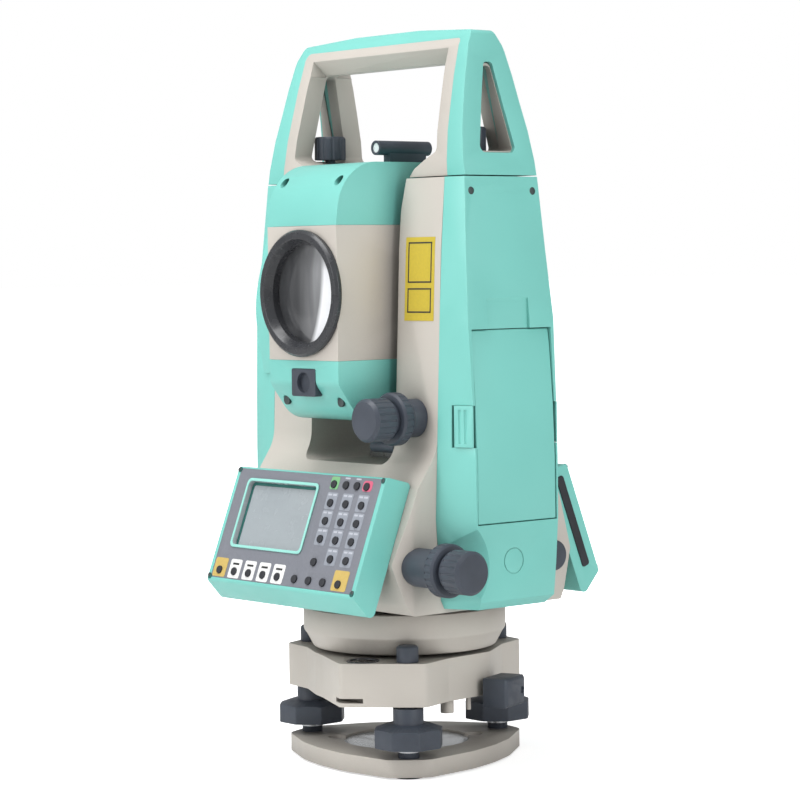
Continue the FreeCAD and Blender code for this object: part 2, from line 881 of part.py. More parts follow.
def battery_latch(name, sign):
    """A ribbed latch button at one edge of the battery."""
    label = "battery_latch_" + name
    body = new_body(label)
    shape = sketch_on(body, "XY", d.latch_low + 0.15)
    y_in = sign * 25.9
    corners = [(72.2, y_in), (82.0, y_in), (81.9, sign * 26.7), (72.4, sign * 29.4)]
    if sign < 0:
        corners.reverse()
    outline(shape, corners)
    feature(body, "Pad", shape, d.latch_high - d.latch_low - 0.3)
    grooves = sketch_on(body, "XY", d.latch_low + 2)
    for along in (0.3, 0.62):
        circle(grooves, 72.4 + 9.5 * along, sign * (29.6 - 2.7 * along), 0.8)
    feature(body, "Pocket", grooves, d.latch_high - d.latch_low - 4, reverse=True)
    return keep(label, body)


def plate_level():
    """The tube level on the floor of the telescope gap."""
    low = d.body_floor
    housing = new_body("plate_level_housing")
    shape = sketch_on(housing, "XZ")
    rectangle(shape, -20, 20, low, low + 3)
    feature(housing, "Pad", shape, 8, both=True)
    groove = sketch_on(housing, "YZ")
    circle(groove, 0, low + 3, 2.4)
    feature(housing, "Pocket", groove, 32, both=True)
    vial = rod("plate_level_vial", 2.3, 31, -15.5, 0, low + 3, TO_RIGHT)
    keep("plate_level_housing", housing)
    keep("plate_level_vial", vial)


def data_port_cap():
    """The round cap over the data connector, at the rear of the right side."""
    made = turned("data_port_cap", [(0, 0.05), (7.3, 0.05), (7.3, 5), (6.3, 6), (0, 6)])
    place(made, d.seam_half, 38.5, 101, *TO_RIGHT)
    return keep("data_port_cap", made)


def circuit_board():
    """The main board in the left standard."""
    made = box("circuit_board", -56, -54.4, -22, 22, 95, 185)
    return keep("circuit_board", made)


def handle_slab(name, corners):
    """A slab across the handle's whole depth, from its outline as seen from the front."""
    body = new_body(name)
    shape = sketch_on(body, "XZ")
    outline(shape, corners)
    feature(body, "Pad", shape, 80, both=True)
    return body


def handle_depth(name):
    """The handle's outline as seen from the side, across its whole width."""
    body = new_body(name)
    shape = sketch_on(body, "YZ")
    outline(shape, mirrored([
        (22.5, d.handle_low),
        (22.3, 289),
        (20.5, 303),
        (17.6, 316),
        (14.6, 329),
        (10.6, 343),
        (6.5, d.handle_top),
        (4, d.handle_top + 5),
    ]))
    feature(body, "Pad", shape, 200, both=True)
    window = sketch_on(body, "YZ")
    outline(window, [(-11.5, 292.5, 3), (11.5, 292.5, 3), (2.6, 335, 2.2), (-2.6, 335, 2.2)])
    feature(body, "Pocket", window, 200, both=True)
    return body


def grip_slope(name, side):
    """What is cut from one lower edge of the grip, so that it suits a hand."""
    body = new_body("grip_slope_" + name)
    shape = sketch_on(body, "YZ")
    corners = [
        (side * 3.5, d.grip_under - 1),
        (side * 3.5, d.grip_under),
        (side * 12.6, d.grip_rim),
        (side * 30, d.grip_rim),
        (side * 30, d.grip_under - 1),
    ]
    outline(shape, corners)
    feature(body, "Pad", shape, 102, both=True)
    return body


def handle():
    """The carrying handle: an inner grey frame and an outer shell around it."""
    low = d.handle_low
    top = d.handle_top
    half = d.handle_half
    outer = [
        (76, low - 10),
        (74.3, low),
        (71, 301),
        (68.5, 316),
        (half + 2.5, 340),
        (half, top, 3),
        (24, top + 2.2, 60),
    ]
    seam = [(d.seam_half + 0.8, low - 10), (59.5, 316), (57.5, top - 3.6, 2.5)]
    opening = [
        (34.9, low - 12),
        (35.1, low),
        (38.4, 285.8, 4),
        (46, 289.9, 6),
        (53.8, 293.6, 3),
        (52.2, 316),
        (51, d.grip_under, 2.5),
    ]
    outer_slab = handle_slab("handle_outer", mirrored(outer))
    seam_slab = handle_slab("handle_seam", mirrored(seam))
    frame_slab = handle_slab("handle_inner", mirrored(seam))
    opening_slab = handle_slab("handle_opening", mirrored(opening))
    shell_ring = combine("handle_shell_ring", "Cut", outer_slab, seam_slab)
    frame_ring = combine("handle_frame_ring", "Cut", frame_slab, opening_slab)
    frame_ring = cut_all("handle_grip", frame_ring, [grip_slope("front", -1), grip_slope("rear", 1)])
    shell = combine("handle_shell", "Common", shell_ring, handle_depth("handle_depth_a"))
    solid = combine("handle_solid", "Common", frame_ring, handle_depth("handle_depth_b"))
    holes = []
    for name, x in (("right", d.handle_screw_x), ("left", -d.handle_screw_x)):
        holes.append(rod("handle_hole_" + name, 2.55, 30, x, 0, low - 5))
        holes.append(rod("handle_room_" + name, 8.2, 14, x, 0, 293.7))
    frame = cut_all("handle_frame", solid, holes)
    keep("handle_shell", shell)
    keep("handle_frame", frame)


def handle_screw(name, sign):
    """A thumb screw that holds the handle down."""
    label = "handle_screw_" + name
    body = new_body(label)
    spin(body, [
        (0, 266),
        (2.5, 266),
        (2.5, 293.8),
        (7.8, 293.8),
        (7.8, 304.2),
        (7.1, 305.2),
        (0, 305.2),
    ])
    grip = sketch_on(body, "XY", 293)
    circle(grip, 8.6, 0, 1.2)
    done = feature(body, "Pocket", grip, 14, reverse=True)
    around(body, done, 12)
    place(body, sign * d.handle_screw_x, 0, 0)
    return keep(label, body)


# ---- telescope ----

# How far each cover screw is from the telescope's middle plane.
SCREW_SPREAD = 20.6


def at_trunnion(points):
    """Moves (y, z) outline points so that they are counted from the trunnion axis."""
    return [(p[0], d.trunnion_z + p[1]) + tuple(p[2:]) for p in points]


def telescope_slab(label, points):
    """A slab across the telescope's width, from its outline as seen from the side."""
    body = new_body(label)
    shape = sketch_on(body, "YZ")
    outline(shape, at_trunnion(points))
    feature(body, "Pad", shape, d.telescope_half * 2, both=True)
    return body


def bore_front(body, radius, depth):
    """Bores the telescope's front face to a depth."""
    made = sketch_on(body, "XZ", d.telescope_front)
    circle(made, 0, d.trunnion_z, radius)
    feature(body, "Pocket", made, depth)


def telescope_body():
    """The grey middle of the telescope, bored from end to end for the optics."""
    front = -d.telescope_front
    rear = d.telescope_rear
    body = telescope_slab("telescope_body", [
        (front, -d.seam_down + 0.1),
        (rear, -d.seam_down + 0.1),
        (rear, d.seam_up - 0.1),
        (front, d.seam_up - 0.1),
    ])
    bore_front(body, d.bezel_neck + 0.05, 8.3)
    bore_front(body, 20, 101)
    sockets = sketch_on(body, "YZ")
    circle(sockets, 0, d.trunnion_z, d.axle_radius + 0.02)
    feature(body, "Pocket", sockets, 80, both=True)
    return keep("telescope_body", body)


def telescope_covers():
    """The upper and lower covers, curved back from the front face."""
    front = -d.telescope_front
    rear = d.telescope_rear
    up = d.cover_up
    top = telescope_slab("telescope_top_cover", [
        (front, d.seam_up),
        (rear, d.seam_up),
        (rear, up - 14, 8),
        (rear - 12, up, 8),
        (front + 4, up, 24),
    ])
    seat = sketch_on(top, "XY", d.trunnion_z + up - 1)
    rectangle(seat, -5, 5, -15, 20)
    feature(top, "Pocket", seat, 5, reverse=True)
    for x in (-SCREW_SPREAD, SCREW_SPREAD):
        hole = sketch_on(top, "XZ", d.telescope_front)
        circle(hole, x, d.trunnion_z + up - 8.8, 2.4)
        feature(top, "Pocket", hole, 11.5)
    down = -d.cover_down
    bottom = telescope_slab("telescope_bottom_cover", [
        (front, -d.seam_down),
        (front, -d.seam_down - 11, 6),
        (-47, down, 16),
        (28, down, 14),
        (rear, -d.seam_down - 12, 10),
        (rear, -d.seam_down),
    ])
    window = sketch_on(bottom, "XZ", d.telescope_front)
    rectangle(window, -9.2, 9.2, 179.3, 192.7, 1)
    feature(bottom, "Pocket", window, 4)
    for x in (-SCREW_SPREAD, SCREW_SPREAD):
        hole = sketch_on(bottom, "XZ", d.telescope_front)
        circle(hole, x, 177, 2.4)
        feature(bottom, "Pocket", hole, 7)
    keep("telescope_top_cover", top)
    keep("telescope_bottom_cover", bottom)


def telescope_cover_screws():
    """The four screws at the bottom of the recesses."""
    made = []
    top_z = d.trunnion_z + d.cover_up - 8.8
    depth = d.telescope_front - 11.5
    for x in (-SCREW_SPREAD, SCREW_SPREAD):
        made.append(rod("top_screw", 2.2, 1.5, x, -depth, top_z, TO_FRONT))
        made.append(rod("bottom_screw", 2.2, 1.5, x, -(d.telescope_front - 7), 177, TO_FRONT))
    return keep("telescope_cover_screws", group("telescope_cover_screws", made))


def trunnion():
    """The two stub axles, their bearings and the vertical circle."""
    z = d.trunnion_z
    axles = []
    bearings = []
    for name, sign, way in (("right", 1, TO_RIGHT), ("left", -1, TO_LEFT)):
        axle = rod("axle_" + name, d.axle_radius, 32, sign * 22, 0, z, way)
        axles.append(axle)
        ring = tube("bearing_" + name, d.axle_radius + d.fit, 13, d.gap_half, 46.5)
        place(ring, 0, 0, z, *way)
        bearings.append(ring)
    keep("trunnion_axle", group("trunnion_axle", axles))
    keep("trunnion_bearings", group("trunnion_bearings", bearings))
    disc = tube("vertical_circle", d.axle_radius + 0.02, 22, 49, 51)
    place(disc, 0, 0, z, *TO_LEFT)
    keep("vertical_circle", disc)


def objective():
    """The black bezel and the front lens."""
    bezel = turned("objective_bezel", [
        (20, 52),
        (d.bezel_neck, 52),
        (d.bezel_neck, d.telescope_front + 0.05),
        (d.bezel_radius, d.telescope_front + 0.05),
        (d.bezel_radius, 62.2),
        (d.bezel_radius - 1.3, 63.5),
        (d.lens_radius + 2.2, 63.5),
        (d.lens_radius, 59.6),
        (d.lens_radius, 54),
        (20, 54),
    ])
    lens = new_body("objective_lens")
    shape = sketch_on(lens, "XZ")
    outline(shape, [(0, 54), (d.lens_radius - 0.02, 54), (d.lens_radius - 0.02, 56), (12, 57.6), (0, 58)])
    made = lens.newObject("PartDesign::Revolution", "objective_lens_turn")
    made.Profile = shape
    made.ReferenceAxis = (shape, ["V_Axis"])
    made.Angle = 360.0
    for name, part in (("objective_bezel", bezel), ("objective_lens", lens)):
        place(part, 0, 0, d.trunnion_z, *TO_FRONT)
        keep(name, part)


def ribbed_ring(label, corners, rim, count, low, high):
    """A turned ring whose rim has finger grooves."""
    body = new_body(label)
    spin(body, corners)
    groove = sketch_on(body, "XY", low)
    circle(groove, size(rim) + 0.45, 0, 0.8)
    done = feature(body, "Pocket", groove, size(high) - low, reverse=True)
    around(body, done, count)
    return body


def eyepiece():
    """The focusing ring, the eyepiece ring and the eyepiece lens at the rear."""
    rear = d.telescope_rear
    focus = ribbed_ring("focusing_ring", [
        (12.06, rear + 0.3),
        (24, rear + 0.3),
        (24, rear + 14),
        (22, rear + 16),
        (12.06, rear + 16),
    ], 24, 30, rear + 2, rear + 13)
    ring = ribbed_ring("eyepiece_ring", [
        (8.5, rear - 6),
        (12, rear - 6),
        (12, rear + 17),
        (14.5, rear + 17),
        (14.5, rear + 28),
        (12.5, rear + 32),
        (8.5, rear + 32),
    ], 14.5, 20, rear + 18, rear + 27)
    lens = turned("eyepiece_lens", [(0, rear + 24), (8.48, rear + 24), (8.48, rear + 27), (0, rear + 28)])
    for name, part in (("focusing_ring", focus), ("eyepiece_ring", ring), ("eyepiece_lens", lens)):
        place(part, 0, 0, d.trunnion_z, *TO_REAR)
        keep(name, part)


def sight_tube():
    """The collimator sight on top of the telescope, on its foot."""
    top = d.trunnion_z + d.cover_up
    tube_z = top + 7.9
    barrel = rod("sight_barrel", 3.5, 33, 0, -14, tube_z, TO_REAR)
    foot = box("sight_foot", -2.4, 2.4, -7, 16, top - 1, tube_z)
    solid = combine("sight_solid", "Fuse", barrel, foot)
    mouth = rod("sight_mouth", 2.4, 4, 0, -15, tube_z, TO_REAR)
    made = combine("sight_tube", "Cut", solid, mouth)
    return keep("sight_tube", made)


def guide_light_window():
    """The dark window of the guide light, with its round emitter."""
    body = new_body("guide_light_window")
    shape = sketch_on(body, "XZ", d.telescope_front - 4)
    rectangle(shape, -9, 9, 179.5, 192.5, 1)
    feature(body, "Pad", shape, 4.3)
    hole = sketch_on(body, "XZ", d.telescope_front + 0.3)
    circle(hole, 0, 186, 4.8)
    feature(body, "Pocket", hole, 2.5)
    return keep("guide_light_window", body)


# ---- clamps and tangent screws ----


def knob_set(prefix, root, start):
    """A sleeve, a clamp ring and an end knob on one axis, counted along that axis."""
    sleeve = turned(prefix + "_sleeve", [
        (0, root),
        (d.sleeve_radius, root),
        (d.sleeve_radius, start),
        (5.5, start),
        (5.5, start + 9),
        (0, start + 9),
    ])
    ring = ribbed_ring(prefix + "_clamp_ring", [
        (5.56, start + 0.1),
        (d.sleeve_radius + 0.3, start + 0.1),
        (d.ring_radius, start + 3.4),
        (d.ring_radius, start + 7.6),
        (d.ring_radius - 1, start + 8.6),
        (5.56, start + 8.6),
    ], d.ring_radius, 24, start + 3.6, start + 7.5)
    knob = ribbed_ring(prefix + "_tangent_knob", [
        (0, start + 9.1),
        (d.sleeve_radius - 0.4, start + 9.1),
        (d.sleeve_radius - 0.4, start + 11),
        (d.knob_end_radius, start + 11.6),
        (d.knob_end_radius, start + 22),
        (d.knob_end_radius - 1.4, start + 23.6),
        (0, start + 23.6),
    ], d.knob_end_radius, 20, start + 12, start + 21.5)
    return sleeve, ring, knob


def tangent_screws():
    """The vertical set on the right standard's front and the horizontal set at the lower right."""
    v_sleeve, v_ring, v_knob = knob_set("vertical", size(29.5), size(38))
    h_sleeve, h_ring, h_knob = knob_set("horizontal", size(56.1), size(76.4))
    for part in (v_sleeve, v_ring, v_knob):
        place(part, d.v_knob_x, 0, d.v_knob_z, *TO_FRONT)
    for part in (h_sleeve, h_ring, h_knob):
        place(part, 0, -d.h_knob_y, d.h_knob_z, *TO_RIGHT)
    plunger = rod("plunger", 2.8, 17, 14.9, -30, 155, TO_RIGHT)
    keep("knob_sleeves", group("knob_sleeves", [v_sleeve, h_sleeve, plunger]))
    keep("vertical_clamp_ring", v_ring)
    keep("vertical_tangent_knob", v_knob)
    keep("horizontal_clamp_ring", h_ring)
    keep("horizontal_tangent_knob", h_knob)


# ---- keyboards ----

# Every key position is (x, height up the face), counted from the middle of the face's lower edge.
KEY_COLUMNS = (21.2, 32.6, 44.1)
KEYS = [(x, 52.6) for x in (20.2, 29.0, 37.1, 44.3)]
KEYS += [(x, y) for y in (43.5, 34.7, 25.9) for x in KEY_COLUMNS]
KEYS += [(KEY_COLUMNS[1], 16.8), (KEY_COLUMNS[2], 16.8), (KEY_COLUMNS[0], 14.6)]
KEYS += [(x, 5.5) for x in (-48.3, -36.6, -25.3, -14.0, -2.7, 10.5, 21.1, 31.7, 43.1)]


def put_panel(thing, side):
    """Stands a piece drawn flat on the keyboard's slope, at the front or at the rear."""
    slope = FreeCAD.Rotation(FreeCAD.Vector(1, 0, 0), d.panel_tilt.value)
    half_turn = FreeCAD.Rotation(FreeCAD.Vector(0, 0, 1), 180 if side == "rear" else 0)
    spot = FreeCAD.Vector(0, -d.panel_y.value, d.panel_z.value)
    thing.Placement = FreeCAD.Placement(half_turn.multVec(spot), half_turn.multiply(slope))
    sign = 1 if side == "rear" else -1
    bind(thing, ".Placement.Base.y", sign * d.panel_y)
    bind(thing, ".Placement.Base.z", d.panel_z)
    return thing


def panel_case(side):
    """The keyboard's housing, a slab with a slanted lower face and a shallow tray."""
    body = new_body(side + "_panel_case")
    shape = sketch_on(body, "YZ")
    high = d.panel_high
    thick = d.panel_thick
    outline(shape, [(0, 0, 2), (-7, -thick + 1, 3), (-3, -thick), (high + 1.7, -thick, 2), (high, 0, 2)])
    feature(body, "Pad", shape, d.panel_half * 2, both=True)
    tray = sketch_on(body, "XY")
    rectangle(tray, -54.2, 53.8, 1.6, 57.0, 1)
    feature(body, "Pocket", tray, d.plate_thick)
    well = sketch_on(body, "XY")
    rectangle(well, -52.6, 51.6, 2.4, 56, 1)
    feature(body, "Pocket", well, 6.5)
    if side == "rear":
        strip = sketch_on(body, "YZ", -d.panel_half)
        rectangle(strip, 6, 54, -9.4, -4.6, 1.5)
        feature(body, "Pocket", strip, 2, reverse=True)
    return keep(body.Label, put_panel(body, side))


def panel_faceplate(side):
    """The thin plate around the display, with a hole for each key."""
    body = new_body(side + "_faceplate")
    shape = sketch_on(body, "XY", -d.plate_thick)
    rectangle(shape, -54.1, 53.7, 1.7, 56.9, 1)
    feature(body, "Pad", shape, d.plate_thick)
    window = sketch_on(body, "XY")
    rectangle(window, -45.6, 9.6, 17.6, 52.2, 2.5)
    feature(body, "Pocket", window, d.plate_thick * 2)
    holes = sketch_on(body, "XY")
    for x, y in KEYS:
        circle(holes, x, y, d.key_radius + 0.15)
    feature(body, "Pocket", holes, d.plate_thick * 2)
    return keep(body.Label, put_panel(body, side))


def panel_display(side):
    """The display module: its frame stands in the faceplate's window."""
    body = new_body(side + "_display")
    shape = sketch_on(body, "XY", -6.4)
    rectangle(shape, -45.5, 9.5, 17.7, 52.1, 2.4)
    feature(body, "Pad", shape, 6.7)
    glass = sketch_on(body, "XY", 0.3)
    rectangle(glass, -44.3, 8.3, 18.9, 50.9, 2)
    feature(body, "Pocket", glass, 2.6)
    return keep(body.Label, put_panel(body, side))


def panel_keypad(side):
    """The one-piece silicone mat, with a bump for each key."""
    body = new_body(side + "_keypad")
    shape = sketch_on(body, "XY", -4)
    outline(shape, [(-52, 2.6), (49.5, 2.6), (49.5, 55.6), (12, 55.6), (12, 10), (-52, 10)])
    feature(body, "Pad", shape, 1.6)
    bumps = sketch_on(body, "XY", -2.5)
    for x, y in KEYS:
        circle(bumps, x, y, d.key_radius)
    feature(body, "Pad", bumps, 3.3)
    return keep(body.Label, put_panel(body, side))


def port_cover():
    """The rubber strip that covers the port on the side of the rear keyboard."""
    body = new_body("port_cover")
    shape = sketch_on(body, "YZ", -d.panel_half - 0.6)
    rectangle(shape, 6.1, 53.9, -9.3, -4.7, 1.4)
    feature(body, "Pad", shape, 2.4)
    return keep("port_cover", put_panel(body, "rear"))


def panel_screws():
    """The four corner screws of each keyboard."""
    made = []
    for side in ("front", "rear"):
        for x in (-55.15, 54.75):
            for y in (2.6, 56.2):
                screw = rod("panel_screw", 0.95, 0.5, x, y, 0.02)
                turn = document.addObject("Part::Compound", "panel_screw_set")
                turn.Links = [screw]
                made.append(put_panel(turn, side))
    return made


# ---- the whole instrument ----


def build():
    """Builds every sub-part."""
    base_plate()
    base_feet()
    spring_plate()
    for name in SCREW_ANGLES:
        foot_screw(name)
    foot_screw_bushes()
    foot_screw_caps()
    tribrach_body()
    lock_plate()
    lock_knob()
    circular_level()
    base_flange()
    vertical_axis()
    axis_bearing()
    horizontal_circle()
    alidade_frame()
    side_cover("right_side_cover", False)
    side_cover("left_side_cover", True)
    keep("case_screws", group("case_screws", case_screws() + panel_screws()))
    battery_pack()
    battery_latch("front", -1)
    battery_latch("rear", 1)
    plate_level()
    data_port_cap()
    circuit_board()
    handle()
    handle_screw("right", 1)
    handle_screw("left", -1)
    telescope_body()
    telescope_covers()
    telescope_cover_screws()
    trunnion()
    objective()
    eyepiece()
    sight_tube()
    guide_light_window()
    tangent_screws()
    for side in ("front", "rear"):
        panel_case(side)
        panel_faceplate(side)
        panel_display(side)
        panel_keypad(side)
    port_cover()


def check():
    """Stops if any object failed or any sub-part has no valid shape."""
    faults = []
    for item in document.Objects:
        if "Invalid" in item.State or "Error" in item.State:
            faults.append("%s: %s" % (item.Label, item.State))
    for label, thing in pieces.items():
        shape = thing.Shape
        if shape.isNull() or not shape.isValid() or not shape.Solids:
            faults.append("%s has no valid solid" % label)
        elif thing.Label != label:
            faults.append("%s is labelled %s" % (label, thing.Label))
    if faults:
        raise RuntimeError("; ".join(faults))


def write():
    """Writes each sub-part to its own file."""
    os.makedirs("parts", exist_ok=True)
    for label, thing in pieces.items():
        thing.Shape.exportStep("parts/%s.step" % label)


build()
document.recompute()
check()
write()
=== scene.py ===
import math

import bpy
from mathutils import Matrix, Vector


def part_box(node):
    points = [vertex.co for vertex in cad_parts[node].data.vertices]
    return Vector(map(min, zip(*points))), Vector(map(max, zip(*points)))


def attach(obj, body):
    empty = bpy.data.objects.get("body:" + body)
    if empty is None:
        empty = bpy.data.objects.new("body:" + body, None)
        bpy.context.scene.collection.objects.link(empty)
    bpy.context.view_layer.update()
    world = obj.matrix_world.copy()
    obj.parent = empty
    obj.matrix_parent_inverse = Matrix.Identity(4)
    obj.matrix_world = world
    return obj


# Looks for the surveying total station, in the CAD frame. Lengths are in metres, except where
# a comment says millimetres.
# -Y is the side that the objective and the front keyboard face, and +X is the battery side.

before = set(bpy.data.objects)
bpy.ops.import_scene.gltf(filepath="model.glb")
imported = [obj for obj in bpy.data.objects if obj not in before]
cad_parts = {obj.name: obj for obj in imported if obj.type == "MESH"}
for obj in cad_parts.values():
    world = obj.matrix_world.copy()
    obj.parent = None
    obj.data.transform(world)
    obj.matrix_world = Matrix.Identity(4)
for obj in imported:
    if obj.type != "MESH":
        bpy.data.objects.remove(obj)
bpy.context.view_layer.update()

MM = 0.001

# Colours, in linear light.
MINT = (0.205, 0.612, 0.548)
# A lighter copy of the mint, painted on the display's thin frame as its highlight.
HIGHLIGHT_MINT = (0.32, 0.72, 0.64)
# Dark mint: painted shade on the step down to the display glass, and the colour of the face's corner screw
# heads.
DEEP_MINT = (0.015, 0.125, 0.110)
GREY = (0.565, 0.525, 0.475)
DARK = (0.050, 0.060, 0.080)
BLACK = (0.040, 0.042, 0.047)
FACE = (0.205, 0.215, 0.248)
YELLOW = (0.60, 0.46, 0.04)
WHITE = (1.0, 1.0, 1.0, 1.0)

# How strongly the painted shade darkens the colour between near surfaces, and how far away they may be.
CREVICE_SHADE = 0.30
CREVICE_REACH = 45 * MM

TELESCOPE_Z = 228.2 * MM
LENS_RADIUS = 23.6 * MM
SIGHT_RADIUS = 3.5 * MM
SIGHT_LENS_RADIUS = 2.35 * MM

# The bright glint on the objective lies outside a large circle. All are in lens radii.
GLINT_SHIFT = 1.6
GLINT_RISE = 0.3
GLINT_RADIUS = 2.10
GLINT_BLUR = 0.05

# The keyboard's face: its lean, and where the middle of its lower edge stands.
PANEL_TILT = math.radians(68.7)
PANEL_Y = 77.8 * MM
PANEL_Z = 89.7 * MM

# Keys, in millimetres on the face: x from its middle and y up from its lower edge.
TOP_KEYS = [(x, 52.6) for x in (20.2, 29.0, 37.1, 44.3)]
COLUMNS = (21.2, 32.6, 44.1)
NUMBER_KEYS = [(x, y) for y in (43.5, 34.7, 25.9) for x in COLUMNS]
NUMBER_KEYS += [(COLUMNS[1], 16.8), (COLUMNS[2], 16.8)]
WHITE_KEYS = [(x, 5.5) for x in (-36.6, -25.3, -14.0, -2.7)]
LEFT_SAND_KEY = (-48.3, 5.5)
RIGHT_SAND_KEY = (43.1, 5.5)
KEY_OPENING = 2.0
PRINT_BASE = 0.02
DISPLAY_DEPTH = -2.28

# The yellow label on the right standard, in millimetres.
LABEL_LOW = 214.8
LABEL_HIGH = 253.8
LABEL_LEFT = 37.0
LABEL_RIGHT = 57.8
LABEL_FRAMES = {"upper": (232.5, 251.5), "lower": (218.5, 230.0)}
LABEL_LINE = 0.7

# The standard's front face: how far forward it stands at each height, in millimetres.
STANDARD_FACE = [(155, 31.0), (178, 30.1), (215, 28.5), (248, 27.0), (281.4, 24.2)]

# The window through the handle's ends, as (y, z) corners, and its grey lining, in millimetres.
WINDOW_CORNERS = [(-11.5, 292.5), (11.5, 292.5), (2.6, 335.0), (-2.6, 335.0)]
WINDOW_MIDDLE_Z = 306.0
WINDOW_ROUNDING = 2.2
LINER_INNER_X = 61.5
LINER_OUTER_X = 70.5
LINER_LEAN = 0.155
LINER_SCALES = (0.985, 0.94)

# The studio: the sky's strength on the object, and the floor's glow to the camera, by distance.
SKY_LIGHT = 0.43
FLOOR_GLOW = 0.62
FLOOR_GLOW_START = 0.16
FLOOR_GLOW_FULL = 0.60
FLOOR_HALF = 30.0
LIGHT_AIM = (0.0, 0.0, 0.17)
LIGHTS = {
    "key_light": ((-0.4, -1.7, 0.9), 1.0, 12.8),
    "side_light": ((1.9, 0.1, 0.8), 1.0, 13),
    "top_light": ((-0.1, -0.6, 1.7), 1.0, 18.5),
}


# ---- node trees ----


class Tree:
    """A short way to build a node tree."""

    def __init__(self, tree):
        self.tree = tree

    def node(self, kind, **values):
        """Adds a node. Names ending in _in set inputs, and the rest set properties."""
        made = self.tree.nodes.new(kind)
        for key, value in values.items():
            if key.endswith("_in"):
                made.inputs[key[:-3].replace("_", " ")].default_value = value
            else:
                setattr(made, key, value)
        return made

    def link(self, source, target):
        self.tree.links.new(source, target)

    def math(self, operation, first, second=None, clamp=False):
        """Adds a math node, and returns its output. A number or a socket goes in."""
        made = self.node("ShaderNodeMath", operation=operation, use_clamp=clamp)
        for slot, value in enumerate((first, second)):
            if value is None:
                continue
            if hasattr(value, "links"):
                self.link(value, made.inputs[slot])
            else:
                made.inputs[slot].default_value = value
        return made.outputs[0]

    def noise(self, scale, detail=3.0, coords=None):
        made = self.node("ShaderNodeTexNoise", Scale_in=scale, Detail_in=detail)
        if coords is None:
            coords = self.coords()
        self.link(coords, made.inputs["Vector"])
        return made.outputs["Fac"]

    def coords(self):
        return self.node("ShaderNodeTexCoord").outputs["Object"]

    def ramp(self, value, low, high, to_low, to_high):
        made = self.node("ShaderNodeMapRange")
        made.inputs["From Min"].default_value = low
        made.inputs["From Max"].default_value = high
        made.inputs["To Min"].default_value = to_low
        made.inputs["To Max"].default_value = to_high
        self.link(value, made.inputs["Value"])
        return made.outputs["Result"]

    def mix(self, factor, first, second, blend="MIX"):
        """Mixes two colours, each a tuple or a socket."""
        made = self.node("ShaderNodeMix", data_type="RGBA", blend_type=blend)
        if hasattr(factor, "links"):
            self.link(factor, made.inputs[0])
        else:
            made.inputs[0].default_value = factor
        for slot, value in ((6, first), (7, second)):
            if hasattr(value, "links"):
                self.link(value, made.inputs[slot])
            else:
                made.inputs[slot].default_value = (*value, 1.0)
        return made.outputs[2]

    def bump(self, height, strength, distance, normal=None):
        made = self.node("ShaderNodeBump", Strength_in=strength, Distance_in=distance)
        self.link(height, made.inputs["Height"])
        if normal is not None:
            self.link(normal, made.inputs["Normal"])
        return made.outputs["Normal"]

    def edges(self, width):
        """A mask that is bright along worn edges."""
        rounded = self.node("ShaderNodeBevel", samples=4)
        rounded.inputs["Radius"].default_value = width
        plain = self.node("ShaderNodeNewGeometry")
        dot = self.node("ShaderNodeVectorMath", operation="DOT_PRODUCT")
        self.link(rounded.outputs["Normal"], dot.inputs[0])
        self.link(plain.outputs["Normal"], dot.inputs[1])
        sharp = self.math("SUBTRACT", 1.0, dot.outputs["Value"])
        mask = self.ramp(sharp, 0.03, 0.3, 0.0, 1.0)
        broken = self.ramp(self.noise(420.0), 0.45, 0.62, 0.0, 1.0)
        return self.math("MULTIPLY", mask, broken, clamp=True)

    def painted_crevice_shade(self):
        """A mask that is bright where painted shade darkens the colour, deep between near surfaces."""
        shade = self.node("ShaderNodeAmbientOcclusion", samples=6)
        shade.inputs["Distance"].default_value = CREVICE_REACH
        return self.ramp(shade.outputs["AO"], 0.15, 0.66, 0.75, 0.0)


def material(name):
    """A new material, its tree helper and its principled shader."""
    made = bpy.data.materials.new(name)
    made.use_nodes = True
    shader = made.node_tree.nodes["Principled BSDF"]
    return made, Tree(made.node_tree), shader


def enamel(name, colour, rough=0.40, grain=0.10, edge=1.25):
    """Baked enamel: faint orange peel, small colour drift, light edges, painted shade between near surfaces
    and a soft sheen.
    """
    made, tree, shader = material(name)
    drift = tree.ramp(tree.noise(14.0, 2.0), 0.35, 0.65, 0.0, 1.0)
    darker = tuple(c * 0.955 for c in colour)
    lighter = tuple(min(1.0, c * 1.03) for c in colour)
    base = tree.mix(drift, darker, lighter)
    speck = tree.ramp(tree.noise(2600.0, 1.0), 0.30, 0.70, 0.0, 1.0)
    base = tree.mix(tree.math("MULTIPLY", speck, 0.05), base, tuple(c * 0.7 for c in colour))
    # Painted shade: the colour darkens deep between near surfaces.
    base = tree.mix(tree.painted_crevice_shade(), base, tuple(c * CREVICE_SHADE for c in colour))
    worn = tree.math("MULTIPLY", tree.edges(0.5 * MM), 0.35)
    base = tree.mix(worn, base, tuple(min(1.0, c * edge + 0.02) for c in colour))
    tree.link(base, shader.inputs["Base Color"])
    tree.link(tree.ramp(tree.noise(90.0), 0.3, 0.7, rough - 0.05, rough + 0.06), shader.inputs["Roughness"])
    peel = tree.math("ADD", tree.noise(1500.0, 2.0), tree.math("MULTIPLY", tree.noise(420.0, 1.0), 0.6))
    tree.link(tree.bump(peel, grain, 0.12 * MM), shader.inputs["Normal"])
    shader.inputs["Coat Weight"].default_value = 0.12
    shader.inputs["Coat Roughness"].default_value = 0.25
    return made


